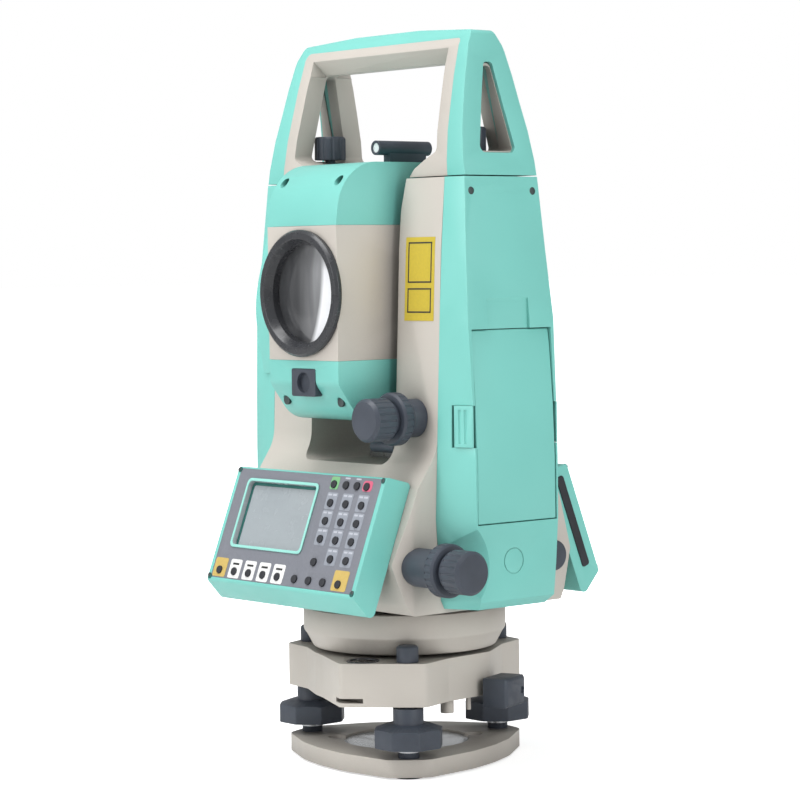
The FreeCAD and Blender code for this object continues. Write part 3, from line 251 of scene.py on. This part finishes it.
def moulded(name, colour, rough=0.45, grain=0.25, wear=0.4):
    """Moulded plastic: spark-eroded grain, rubbed edges and uneven sheen."""
    made, tree, shader = material(name)
    drift = tree.ramp(tree.noise(60.0), 0.3, 0.7, 0.0, 1.0)
    base = tree.mix(drift, tuple(c * 0.85 for c in colour), tuple(c * 1.15 for c in colour))
    worn = tree.math("MULTIPLY", tree.edges(0.4 * MM), wear)
    base = tree.mix(worn, base, tuple(min(1.0, c * 2.2 + 0.05) for c in colour))
    tree.link(base, shader.inputs["Base Color"])
    tree.link(tree.ramp(tree.noise(160.0), 0.3, 0.7, rough - 0.08, rough + 0.10), shader.inputs["Roughness"])
    tree.link(tree.bump(tree.noise(2200.0, 2.0), grain, 0.10 * MM), shader.inputs["Normal"])
    return made


def metal(name, colour, rough=0.28, stretch=(1.0, 1.0, 14.0)):
    """Turned or ground metal with fine tool lines."""
    made, tree, shader = material(name)
    mapping = tree.node("ShaderNodeMapping")
    mapping.inputs["Scale"].default_value = stretch
    tree.link(tree.coords(), mapping.inputs["Vector"])
    lines = tree.noise(500.0, 3.0, mapping.outputs["Vector"])
    base = tree.mix(lines, tuple(c * 0.8 for c in colour), colour)
    tree.link(base, shader.inputs["Base Color"])
    shader.inputs["Metallic"].default_value = 1.0
    tree.link(tree.ramp(lines, 0.3, 0.7, rough - 0.08, rough + 0.12), shader.inputs["Roughness"])
    tree.link(tree.bump(lines, 0.12, 0.05 * MM), shader.inputs["Normal"])
    return made


def glass(name, tint, coat=(1.0, 1.0, 1.0), rough=0.0):
    """Optical glass with a faint coating and a few dust marks."""
    made, tree, shader = material(name)
    dust = tree.ramp(tree.noise(700.0, 4.0), 0.60, 0.80, 0.0, 0.12)
    tree.link(tree.math("ADD", dust, rough), shader.inputs["Roughness"])
    base = tree.mix(dust, tint, (0.8, 0.8, 0.8))
    tree.link(base, shader.inputs["Base Color"])
    shader.inputs["Transmission Weight"].default_value = 1.0
    shader.inputs["IOR"].default_value = 1.45
    shader.inputs["Coat Weight"].default_value = 0.6
    shader.inputs["Coat Tint"].default_value = (*coat, 1.0)
    return made


def objective_glass(name):
    """The objective's glass: a dark colour with a painted glow in soft streaks, brighter towards +X and
    higher up, and a painted bright reflection on its +X edge.
    """
    made, tree, shader = material(name)
    parts = tree.node("ShaderNodeSeparateXYZ")
    tree.link(tree.coords(), parts.inputs[0])
    across = tree.math("DIVIDE", parts.outputs["X"], LENS_RADIUS)
    up = tree.math("DIVIDE", tree.math("SUBTRACT", parts.outputs["Z"], TELESCOPE_Z), LENS_RADIUS)
    side = tree.math("ADD", across, GLINT_SHIFT)
    rise = tree.math("SUBTRACT", up, GLINT_RISE)
    squares = tree.math("ADD", tree.math("MULTIPLY", side, side), tree.math("MULTIPLY", rise, rise))
    radius = tree.math("SQRT", squares)
    rim = tree.ramp(radius, GLINT_RADIUS - GLINT_BLUR, GLINT_RADIUS + GLINT_BLUR, 0.0, 1.0)
    # Painted reflection: a bright crescent along the +X edge, fading out towards the top.
    crescent = tree.math("MULTIPLY", rim, tree.ramp(up, 0.45, 0.80, 1.0, 0.0))
    mapping = tree.node("ShaderNodeMapping")
    mapping.inputs["Scale"].default_value = (1.0, 1.0, 0.12)
    tree.link(tree.coords(), mapping.inputs["Vector"])
    streaks = tree.ramp(tree.noise(130.0, 2.0, mapping.outputs["Vector"]), 0.40, 0.68, 0.0, 1.0)
    # Painted glow: the dark glass gets brighter towards +X and higher up, in soft streaks.
    sideways = tree.ramp(across, -0.3, 0.5, 0.07, 0.46)
    glow = tree.math("MULTIPLY", sideways, tree.ramp(up, -1.0, 0.4, 0.6, 1.0))
    streaked_glow = tree.math("MULTIPLY", glow, tree.ramp(streaks, 0.0, 1.0, 0.55, 1.0))
    glass_and_glow = tree.mix(streaked_glow, (0.020, 0.021, 0.023), (0.80, 0.81, 0.81))
    tree.link(tree.mix(crescent, glass_and_glow, (0.95, 0.96, 0.96)), shader.inputs["Base Color"])
    shader.inputs["Roughness"].default_value = 0.12
    shader.inputs["Coat Weight"].default_value = 0.5
    shader.inputs["Coat Tint"].default_value = (0.94, 0.95, 1.0, 1.0)
    return made


def liquid_crystal(name):
    """The pale display: a faint cell grid under a soft vertical drift."""
    made, tree, shader = material(name)
    drift = tree.ramp(tree.noise(22.0, 1.0), 0.3, 0.7, 0.0, 1.0)
    base = tree.mix(drift, (0.33, 0.37, 0.395), (0.39, 0.43, 0.45))
    cells = tree.node("ShaderNodeTexBrick", Scale_in=1.0, offset=0.0, squash=1.0)
    cells.inputs["Mortar Size"].default_value = 0.00012
    cells.inputs["Brick Width"].default_value = 0.0011
    cells.inputs["Row Height"].default_value = 0.0011
    tree.link(tree.coords(), cells.inputs["Vector"])
    base = tree.mix(tree.math("MULTIPLY", cells.outputs["Fac"], 0.06), base, (0.30, 0.33, 0.34))
    tree.link(base, shader.inputs["Base Color"])
    tree.link(tree.ramp(tree.noise(180.0), 0.3, 0.7, 0.18, 0.30), shader.inputs["Roughness"])
    shader.inputs["Coat Weight"].default_value = 0.5
    shader.inputs["Coat Roughness"].default_value = 0.08
    return made


def print_ink(name, colour, rough=0.45):
    """Printed ink on a plate: slight mottling and a soft sheen."""
    made, tree, shader = material(name)
    mottled = tree.ramp(tree.noise(900.0, 2.0), 0.3, 0.7, 0.0, 1.0)
    base = tree.mix(mottled, tuple(c * 0.92 for c in colour), colour)
    tree.link(base, shader.inputs["Base Color"])
    tree.link(tree.ramp(mottled, 0.0, 1.0, rough - 0.06, rough + 0.06), shader.inputs["Roughness"])
    tree.link(tree.bump(tree.noise(1800.0, 1.0), 0.08, 0.05 * MM), shader.inputs["Normal"])
    return made


mint = enamel("mint_enamel", MINT)
# Painted highlight: the display's frame in a lighter copy of the mint enamel.
highlight_rim_mint = enamel("highlight_rim_enamel", HIGHLIGHT_MINT)
# Dark mint used as painted shade on the step down to the display glass, and for the corner screw heads.
shadow_mint = moulded("painted_shade_mint", DEEP_MINT, rough=0.6, wear=0.0)
grey = enamel("grey_enamel", GREY, rough=0.46)
dark = moulded("dark_plastic", DARK)
black = moulded("black_bezel", BLACK, rough=0.26, grain=0.08, wear=0.2)
rubber = moulded("soft_rubber", (0.020, 0.022, 0.028), rough=0.62, grain=0.4, wear=0.1)
face = print_ink("face_print", FACE)
steel = metal("turned_steel", (0.55, 0.56, 0.58))
brass = metal("turned_brass", (0.72, 0.56, 0.25))
spring = metal("spring_sheet", (0.80, 0.83, 0.86), rough=0.22, stretch=(1.0, 16.0, 1.0))
# Dark metal for the screw heads, darkened as painted shade of the recesses they sit in.
dark_shaded_screw = metal("dark_shaded_screw", (0.12, 0.15, 0.15), rough=0.45)
lens = glass("coated_glass", (0.90, 0.93, 0.96), coat=(0.75, 0.8, 1.0))
front_lens = objective_glass("objective_glass")
vial = glass("vial_glass", (0.80, 0.92, 0.55))
display = liquid_crystal("display_cell")
board = moulded("board_green", (0.02, 0.16, 0.07), rough=0.4)
white_ink = print_ink("white_ink", (0.86, 0.87, 0.86))
yellow_ink = print_ink("yellow_ink", YELLOW)
sand_ink = print_ink("sand_ink", (0.62, 0.45, 0.13))
green_ink = print_ink("green_ink", (0.22, 0.52, 0.24))
red_ink = print_ink("red_ink", (0.72, 0.14, 0.24))
black_ink = print_ink("black_ink", (0.03, 0.03, 0.03))
pale_ink = print_ink("pale_ink", (0.52, 0.54, 0.60))
field_ink = print_ink("field_ink", (0.31, 0.335, 0.385))
sight_white = print_ink("sight_white", (0.85, 0.87, 0.88), rough=0.2)


# ---- finishing the CAD nodes ----


def smooth_group():
    """A modifier group that shades smooth except across edges sharper than 28 degrees."""
    group = bpy.data.node_groups.new("smooth_by_angle", "GeometryNodeTree")
    group.interface.new_socket("Geometry", in_out="INPUT", socket_type="NodeSocketGeometry")
    group.interface.new_socket("Geometry", in_out="OUTPUT", socket_type="NodeSocketGeometry")
    start = group.nodes.new("NodeGroupInput")
    end = group.nodes.new("NodeGroupOutput")
    angle = group.nodes.new("GeometryNodeInputMeshEdgeAngle")
    compare = group.nodes.new("FunctionNodeCompare")
    compare.data_type = "FLOAT"
    compare.operation = "LESS_THAN"
    compare.inputs[1].default_value = math.radians(28)
    faces = group.nodes.new("GeometryNodeSetShadeSmooth")
    faces.domain = "FACE"
    edges = group.nodes.new("GeometryNodeSetShadeSmooth")
    edges.domain = "EDGE"
    group.links.new(start.outputs[0], faces.inputs["Geometry"])
    group.links.new(faces.outputs[0], edges.inputs["Geometry"])
    group.links.new(angle.outputs["Unsigned Angle"], compare.inputs[0])
    group.links.new(compare.outputs[0], edges.inputs["Shade Smooth"])
    group.links.new(edges.outputs[0], end.inputs[0])
    return group


smoothing = smooth_group()


def soften(thing, width, segments=3):
    """Welds the mesh, rounds its sharp edges and shades it smooth."""
    if "custom_normal" in thing.data.attributes:
        thing.data.attributes.remove(thing.data.attributes["custom_normal"])
    weld = thing.modifiers.new("weld", "WELD")
    weld.merge_threshold = 0.00001
    if width > 0:
        flat = thing.modifiers.new("flat", "DECIMATE")
        flat.decimate_type = "DISSOLVE"
        flat.angle_limit = math.radians(0.6)
        bevel = thing.modifiers.new("edge", "BEVEL")
        bevel.width = width
        bevel.segments = segments
        bevel.limit_method = "ANGLE"
        bevel.angle_limit = math.radians(32)
        bevel.use_clamp_overlap = True
        bevel.harden_normals = False
    shading = thing.modifiers.new("smooth", "NODES")
    shading.node_group = smoothing


def paint(thing, coat):
    """Puts one material in every slot of an object."""
    if not thing.material_slots:
        thing.data.materials.append(coat)
    for place in thing.material_slots:
        place.material = coat


FINISH = {
    mint: (0.7, ["left_side_cover", "right_side_cover", "battery_pack", "battery_latch_front",
                 "battery_latch_rear", "handle_shell", "telescope_top_cover",
                 "telescope_bottom_cover", "front_panel_case", "rear_panel_case"]),
    grey: (0.8, ["alidade_frame", "handle_frame", "telescope_body", "tribrach_body",
                 "base_plate", "base_flange"]),
    dark: (0.35, ["foot_screw_front", "foot_screw_right", "foot_screw_left", "foot_screw_caps",
                  "lock_knob", "handle_screw_left", "handle_screw_right", "knob_sleeves",
                  "vertical_clamp_ring", "vertical_tangent_knob", "horizontal_clamp_ring",
                  "horizontal_tangent_knob", "focusing_ring", "eyepiece_ring", "sight_tube",
                  "guide_light_window", "data_port_cap"]),
    black: (0.2, ["objective_bezel", "circular_level_cup"]),
    rubber: (0.3, ["front_keypad", "rear_keypad", "port_cover", "base_feet"]),
    steel: (0.1, ["vertical_axis", "trunnion_axle", "trunnion_bearings", "lock_plate",
                  "plate_level_housing"]),
    dark_shaded_screw: (0.15, ["case_screws", "telescope_cover_screws"]),
    brass: (0.1, ["foot_screw_bushes", "axis_bearing"]),
    spring: (0.1, ["spring_plate"]),
    lens: (0.0, ["eyepiece_lens", "horizontal_circle", "vertical_circle"]),
    front_lens: (0.0, ["objective_lens"]),
    vial: (0.0, ["circular_level_vial", "plate_level_vial"]),
    face: (0.15, ["front_faceplate", "rear_faceplate"]),
    display: (0.2, ["front_display", "rear_display"]),
    board: (0.1, ["circuit_board"]),
}

for coat, (edge_width, names) in FINISH.items():
    for node_name in names:
        node_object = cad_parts[node_name]
        paint(node_object, coat)
        soften(node_object, edge_width * MM)


# ---- new pieces ----


def piece(name, verts, faces, coat, body, bevel=0.0):
    """A new mesh piece that rides on a body."""
    data = bpy.data.meshes.new(name)
    data.from_pydata([tuple(v) for v in verts], [], faces)
    data.update()
    made = bpy.data.objects.new(name, data)
    bpy.context.scene.collection.objects.link(made)
    data.materials.append(coat)
    soften(made, bevel)
    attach(made, body)
    return made


def merge(shapes):
    """Joins (verts, faces) shapes into one."""
    verts = []
    faces = []
    for more_verts, more_faces in shapes:
        first = len(verts)
        verts += more_verts
        faces += [tuple(i + first for i in f) for f in more_faces]
    return verts, faces


def prism(ring, lift):
    """A prism from a counter-clockwise ring of points, raised by a vector."""
    count = len(ring)
    low = [Vector(p) for p in ring]
    high = [p + Vector(lift) for p in low]
    faces = [tuple(range(count - 1, -1, -1)), tuple(range(count, 2 * count))]
    for i in range(count):
        j = (i + 1) % count
        faces.append((i, j, count + j, count + i))
    return low + high, faces


def rounded(x_low, x_high, y_low, y_high, radius, steps=5):
    """The ring of a rounded rectangle, counter-clockwise."""
    corners = [(x_high - radius, y_low + radius, -90), (x_high - radius, y_high - radius, 0),
               (x_low + radius, y_high - radius, 90), (x_low + radius, y_low + radius, 180)]
    ring = []
    for x, y, start in corners:
        for step in range(steps + 1):
            angle = math.radians(start + 90 * step / steps)
            ring.append((x + radius * math.cos(angle), y + radius * math.sin(angle), 0.0))
    return ring


def frame_ring(outer, inner, lift):
    """A flat frame between two rings of the same count, raised by a height."""
    count = len(outer)
    verts = [Vector(p) for p in outer + inner]
    verts += [Vector(p) + Vector((0, 0, lift)) for p in outer + inner]
    faces = []
    for i in range(count):
        j = (i + 1) % count
        faces.append((i, j, 2 * count + j, 2 * count + i))
        faces.append((count + j, count + i, 3 * count + i, 3 * count + j))
        faces.append((2 * count + i, 2 * count + j, 3 * count + j, 3 * count + i))
        faces.append((count + i, count + j, j, i))
    return verts, faces


def panel_matrix(side):
    """Where a piece drawn flat on the keyboard's face stands."""
    half_turn = Matrix.Rotation(math.pi if side == "rear" else 0.0, 4, "Z")
    return half_turn @ Matrix.Translation((0, -PANEL_Y, PANEL_Z)) @ Matrix.Rotation(PANEL_TILT, 4, "X")


def on_panel(side, shape, base):
    """Moves a flat shape, drawn in millimetres, onto a keyboard at a height above its face."""
    matrix = panel_matrix(side)
    verts, faces = shape
    return [matrix @ (Vector((v[0], v[1], v[2] + base)) * MM) for v in verts], faces


def patch(x_low, x_high, y_low, y_high, radius=1.0, lift=0.12):
    return prism(rounded(x_low, x_high, y_low, y_high, radius), (0, 0, lift))


def key_patch(x_low, x_high, y_low, y_high, key, radius=1.0, lift=0.12):
    """A printed patch with a round opening for its key."""
    corners = rounded(x_low, x_high, y_low, y_high, radius)
    outer = []
    for here, corner in enumerate(corners):
        start = Vector(corner)
        end = Vector(corners[(here + 1) % len(corners)])
        parts = max(1, round((end - start).length / 0.6))
        outer += [tuple(start.lerp(end, part / parts)) for part in range(parts)]
    inner = []
    for x, y, _ in outer:
        angle = math.atan2(y - key[1], x - key[0])
        inner.append((key[0] + KEY_OPENING * math.cos(angle), key[1] + KEY_OPENING * math.sin(angle), 0.0))
    return frame_ring(outer, inner, lift)


def disc(x, y, radius, lift, steps=28):
    """A low round button."""
    turn = [2 * math.pi * i / steps for i in range(steps)]
    return prism([(x + radius * math.cos(a), y + radius * math.sin(a), 0.0) for a in turn], (0, 0, lift))


def ring(outer, inner, low, high, x=0.0, y=0.0, steps=40):
    """An upright ring between two radii and two heights, in metres."""
    turn = [2 * math.pi * i / steps for i in range(steps)]
    big = [((x + outer * math.cos(a)) * MM, (y + outer * math.sin(a)) * MM, low * MM) for a in turn]
    small = [((x + inner * math.cos(a)) * MM, (y + inner * math.sin(a)) * MM, low * MM) for a in turn]
    return frame_ring(big, small, (high - low) * MM)


def face_piece(side, name, shape, coat, base=PRINT_BASE, bevel=0.0):
    """One piece on a keyboard, from a flat shape in millimetres at a height above the face."""
    verts, faces = on_panel(side, shape, base)
    made = piece("%s_%s" % (side, name), verts, faces, coat, "alidade", bevel)


def key_patches(side):
    """The coloured patches printed round the outer keys."""
    white = [key_patch(key[0] - 4.4, key[0] + 4.4, 2.2, 11.6, key) for key in WHITE_KEYS]
    sand = [
        key_patch(-53.2, -43.4, 2.2, 11.6, LEFT_SAND_KEY),
        key_patch(38.5, 49.2, 2.4, 12.2, RIGHT_SAND_KEY),
    ]
    inks = {
        "green_patch": (green_ink, [key_patch(17.4, 23.4, 50.2, 56.4, TOP_KEYS[0])]),
        "red_patch": (red_ink, [key_patch(41.2, 48.0, 50.4, 55.6, TOP_KEYS[3], 1.6)]),
        "white_patches": (white_ink, white),
        "sand_patches": (sand_ink, sand),
    }
    for name, (ink, shapes) in inks.items():
        face_piece(side, name, merge(shapes), ink)


def key_fields(side):
    """The lighter fields printed round the number keys."""
    fields = [key_patch(x - 3.9, x + 3.9, y - 3.0, y + 5.2, (x, y), 0.8, 0.05) for x, y in NUMBER_KEYS]
    face_piece(side, "key_fields", merge(fields), field_ink)


def label_dashes(side):
    """Short dashes in place of the words above the keys."""
    dashes = []
    for x, y in NUMBER_KEYS:
        dashes.append(patch(x - 3.2, x - 0.6, y + 3.6, y + 4.5, 0.25, 0.08))
        dashes.append(patch(x + 0.2, x + 3.0, y + 3.6, y + 4.5, 0.25, 0.08))
    for x, y in TOP_KEYS[1:3]:
        dashes.append(patch(x - 1.8, x + 1.8, y + 3.0, y + 3.8, 0.25, 0.08))
    face_piece(side, "label_dashes", merge(dashes), pale_ink)


def patch_marks(side):
    """A dark dash on each white patch."""
    marks = [patch(x - 2.4, x + 2.4, y + 3.3, y + 4.3, 0.2, 0.2) for x, y in WHITE_KEYS]
    face_piece(side, "patch_marks", merge(marks), black_ink)


def display_surround(side):
    """The raised frame round the display, in a lighter mint as painted highlight, and a dark ring of painted
    shade on the step down to its glass.
    """
    outer = rounded(-45.8, 9.9, 17.4, 52.4, 2.8)
    inner = rounded(-44.4, 8.4, 18.8, 51.0, 2.0)
    shape = frame_ring(outer, inner, 0.6)
    face_piece(side, "display_frame", shape, highlight_rim_mint, bevel=0.2 * MM)
    outer = rounded(-44.3, 8.3, 18.9, 50.9, 2.0)
    inner = rounded(-42.9, 8.1, 19.2, 49.5, 1.2)
    shape = frame_ring(outer, inner, 0.25)
    face_piece(side, "display_shade", shape, shadow_mint, DISPLAY_DEPTH)


def corner_screws(side):
    """The four screw heads in the corners of the face."""
    spots = [(-54.7, 56.2), (54.6, 56.2), (-54.7, 1.9), (54.6, 1.9)]
    heads = [disc(x, y, 1.35, 0.3) for x, y in spots]
    face_piece(side, "corner_screws", merge(heads), shadow_mint)


for panel_side in ("front", "rear"):
    key_patches(panel_side)
    key_fields(panel_side)
    label_dashes(panel_side)
    patch_marks(panel_side)
    display_surround(panel_side)
    corner_screws(panel_side)


def strip_on_standard(name, x_low, x_high, z_low, z_high, lift, coat):
    """A thin printed strip that follows the slope of the right standard's front face."""
    rows = 6
    verts = []
    for out in (lift, -0.1):
        for row in range(rows + 1):
            z = z_low + (z_high - z_low) * row / rows
            for x in (x_low, x_high):
                verts.append(Vector((x, -standard_face(z) - out, z)) * MM)
    faces = []
    back = 2 * (rows + 1)
    for row in range(rows):
        i = 2 * row
        faces.append((i, i + 1, i + 3, i + 2))
        faces.append((back + i + 2, back + i + 3, back + i + 1, back + i))
        faces.append((i + 2, back + i + 2, back + i, i))
        faces.append((i + 1, back + i + 1, back + i + 3, i + 3))
    last = 2 * rows
    faces.append((0, back, back + 1, 1))
    faces.append((last, last + 1, back + last + 1, back + last))
    made = piece(name, verts, faces, coat, "alidade")


def standard_face(z):
    """How far forward the standard's front face stands at a height, in millimetres."""
    for (z0, y0), (z1, y1) in zip(STANDARD_FACE, STANDARD_FACE[1:]):
        if z <= z1:
            return y0 + (y1 - y0) * (z - z0) / (z1 - z0)
    return STANDARD_FACE[-1][1]


def caution_label():
    """A plain yellow label with two empty frames."""
    strip_on_standard("label_yellow", LABEL_LEFT, LABEL_RIGHT, LABEL_LOW, LABEL_HIGH, 0.12, yellow_ink)
    left = LABEL_LEFT + 2
    right = LABEL_RIGHT - 2
    for name, (low, high) in LABEL_FRAMES.items():
        sides = {
            "left": (left, left + LABEL_LINE, low, high),
            "right": (right - LABEL_LINE, right, low, high),
            "bottom": (left, right, low, low + LABEL_LINE),
            "top": (left, right, high - LABEL_LINE, high),
        }
        for side, (x_low, x_high, z_low, z_high) in sides.items():
            piece_name = "label_frame_%s_%s" % (name, side)
            strip_on_standard(piece_name, x_low, x_high, z_low, z_high, 0.2, black_ink)


caution_label()


def middle_of(node):
    """The middle of a node's footprint and the height of its top, in millimetres."""
    low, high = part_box(node)
    return (low[0] + high[0]) / 2 / MM, (low[1] + high[1]) / 2 / MM, high[2] / MM


def foot_screw_rings():
    """A bright steel ring on each foot screw's stem, just under its knob."""
    for name in ("front", "right", "left"):
        x, y, _ = middle_of("foot_screw_" + name)
        verts, faces = ring(5.35, 4.9, 12.2, 13.6, x, y)
        made = piece("stem_ring_" + name, verts, faces, steel, "foot_screw_%s_body" % name)


def level_circle():
    """The ring printed on the circular level's glass."""
    x, y, top = middle_of("circular_level_vial")
    verts, faces = ring(2.7, 2.2, top - 0.02, top + 0.06, x, y)
    made = piece("level_circle", verts, faces, black_ink, "tribrach")


def sight_lens():
    """The pale lens in the mouth of the sighting tube."""
    low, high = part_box("sight_tube")
    height = high[2] - SIGHT_RADIUS
    circle = []
    for step in range(28):
        angle = 2 * math.pi * step / 28
        x = SIGHT_LENS_RADIUS * math.cos(angle)
        z = height + SIGHT_LENS_RADIUS * math.sin(angle)
        circle.append((x, low[1] + 1.0 * MM, z))
    verts, faces = prism(circle, (0, -0.5 * MM, 0))
    made = piece("sight_lens", verts, faces, sight_white, "telescope")


def window_outline(scale):
    """The handle's window as a ring of (y, z) points in millimetres, scaled about its middle."""
    points = []
    for here, corner in enumerate(WINDOW_CORNERS):
        corner = Vector(corner)
        before = Vector(WINDOW_CORNERS[here - 1]) - corner
        after = Vector(WINDOW_CORNERS[(here + 1) % len(WINDOW_CORNERS)]) - corner
        start = corner + before.normalized() * WINDOW_ROUNDING
        end = corner + after.normalized() * WINDOW_ROUNDING
        for step in range(5):
            t = step / 4
            spot = start * (1 - t) ** 2 + corner * (2 * t * (1 - t)) + end * t ** 2
            points.append((spot[0] * scale, WINDOW_MIDDLE_Z + (spot[1] - WINDOW_MIDDLE_Z) * scale))
    return points


def liner_rings(sign):
    """The lining's four rings: the outer wall's inner and outer ends, then the inner wall's."""
    low_z = WINDOW_CORNERS[0][1]
    rings = []
    for scale in LINER_SCALES:
        points = window_outline(scale)
        rings.append([(sign * LINER_INNER_X * MM, y * MM, z * MM) for y, z in points])
        ends = [LINER_OUTER_X - (z - low_z) * LINER_LEAN for _, z in points]
        rings.append([(sign * x * MM, y * MM, z * MM) for x, (y, z) in zip(ends, points)])
    return rings


def window_liners():
    """A grey lining in each end window of the handle, set back from the outer shell."""
    walls = [(0, 1, 0), (2, 3, 1), (0, 2, 1), (1, 3, 0)]
    for name, sign in (("right", 1), ("left", -1)):
        rings = liner_rings(sign)
        count = len(rings[0])
        verts = [spot for points in rings for spot in points]
        faces = []
        for i in range(count):
            j = (i + 1) % count
            for low, high, flip in walls:
                quad = (low * count + i, low * count + j, high * count + j, high * count + i)
                faces.append(tuple(reversed(quad)) if bool(flip) == (sign > 0) else quad)
        made = piece("window_liner_" + name, verts, faces, grey, "handle")


foot_screw_rings()
level_circle()
sight_lens()
window_liners()


# ---- stage, camera and light ----


def floor():
    """A plain pale floor that shows only the contact shadow, and fades to white."""
    coat, tree, shader = material("studio_floor")
    base = tree.mix(tree.noise(6.0), (0.86, 0.86, 0.86), (0.88, 0.88, 0.88))
    tree.link(base, shader.inputs["Base Color"])
    shader.inputs["Roughness"].default_value = 0.9
    shader.inputs["Specular IOR Level"].default_value = 0.0
    shader.inputs["Emission Color"].default_value = WHITE
    seen = tree.node("ShaderNodeLightPath").outputs["Is Camera Ray"]
    far = tree.node("ShaderNodeVectorMath", operation="LENGTH")
    tree.link(tree.coords(), far.inputs[0])
    glow = tree.ramp(far.outputs["Value"], FLOOR_GLOW_START, FLOOR_GLOW_FULL, FLOOR_GLOW, 1.0)
    tree.link(tree.math("MULTIPLY", seen, glow), shader.inputs["Emission Strength"])
    data = bpy.data.meshes.new("floor")
    half = FLOOR_HALF
    corners = [(-half, -half, 0), (half, -half, 0), (half, half, 0), (-half, half, 0)]
    data.from_pydata(corners, [], [(0, 1, 2, 3)])
    made = bpy.data.objects.new("floor", data)
    bpy.context.scene.collection.objects.link(made)
    data.materials.append(coat)


def sky():
    """Even light all round, dimmer than the white that the camera sees behind the object."""
    world = bpy.data.worlds.new("studio")
    bpy.context.scene.world = world
    world.use_nodes = True
    tree = Tree(world.node_tree)
    back = world.node_tree.nodes["Background"]
    back.inputs["Color"].default_value = WHITE
    seen = tree.node("ShaderNodeLightPath").outputs["Is Camera Ray"]
    tree.link(tree.ramp(seen, 0.0, 1.0, SKY_LIGHT, 1.0), back.inputs["Strength"])


def soft_light(name, place, aim, width, power):
    """A large square light that faces a point."""
    data = bpy.data.lights.new(name, "AREA")
    data.size = width
    data.energy = power
    made = bpy.data.objects.new(name, data)
    made.location = place
    made.rotation_euler = (Vector(aim) - Vector(place)).to_track_quat("-Z", "Y").to_euler()
    bpy.context.scene.collection.objects.link(made)


def camera():
    """The camera at the front on the battery side, a little above the middle, with a long lens."""
    azimuth = math.radians(49.94)
    aim_azimuth = math.radians(49.94 + 0.03)
    pitch = math.radians(-2.83)
    roll = math.radians(-0.83)
    distance = 1.32491
    height = 0.24073
    data = bpy.data.cameras.new("camera")
    data.sensor_width = 36.0
    data.lens = 122.5
    data.clip_end = 50
    made = bpy.data.objects.new("camera", data)
    forward = Vector((
        -math.sin(aim_azimuth) * math.cos(pitch),
        math.cos(aim_azimuth) * math.cos(pitch),
        math.sin(pitch),
    ))
    right = forward.cross(Vector((0, 0, 1))).normalized()
    up = right.cross(forward)
    right_rolled = right * math.cos(roll) + up * math.sin(roll)
    up_rolled = up * math.cos(roll) - right * math.sin(roll)
    turn = Matrix((right_rolled, up_rolled, -forward)).transposed().to_4x4()
    spot = Matrix.Translation((math.sin(azimuth) * distance, -math.cos(azimuth) * distance, height))
    made.matrix_world = spot @ turn
    bpy.context.scene.collection.objects.link(made)
    bpy.context.scene.camera = made


floor()
sky()
for light_name, (light_place, light_width, light_power) in LIGHTS.items():
    soft_light(light_name, light_place, LIGHT_AIM, light_width, light_power)
camera()
bpy.context.scene.view_settings.view_transform = "Standard"
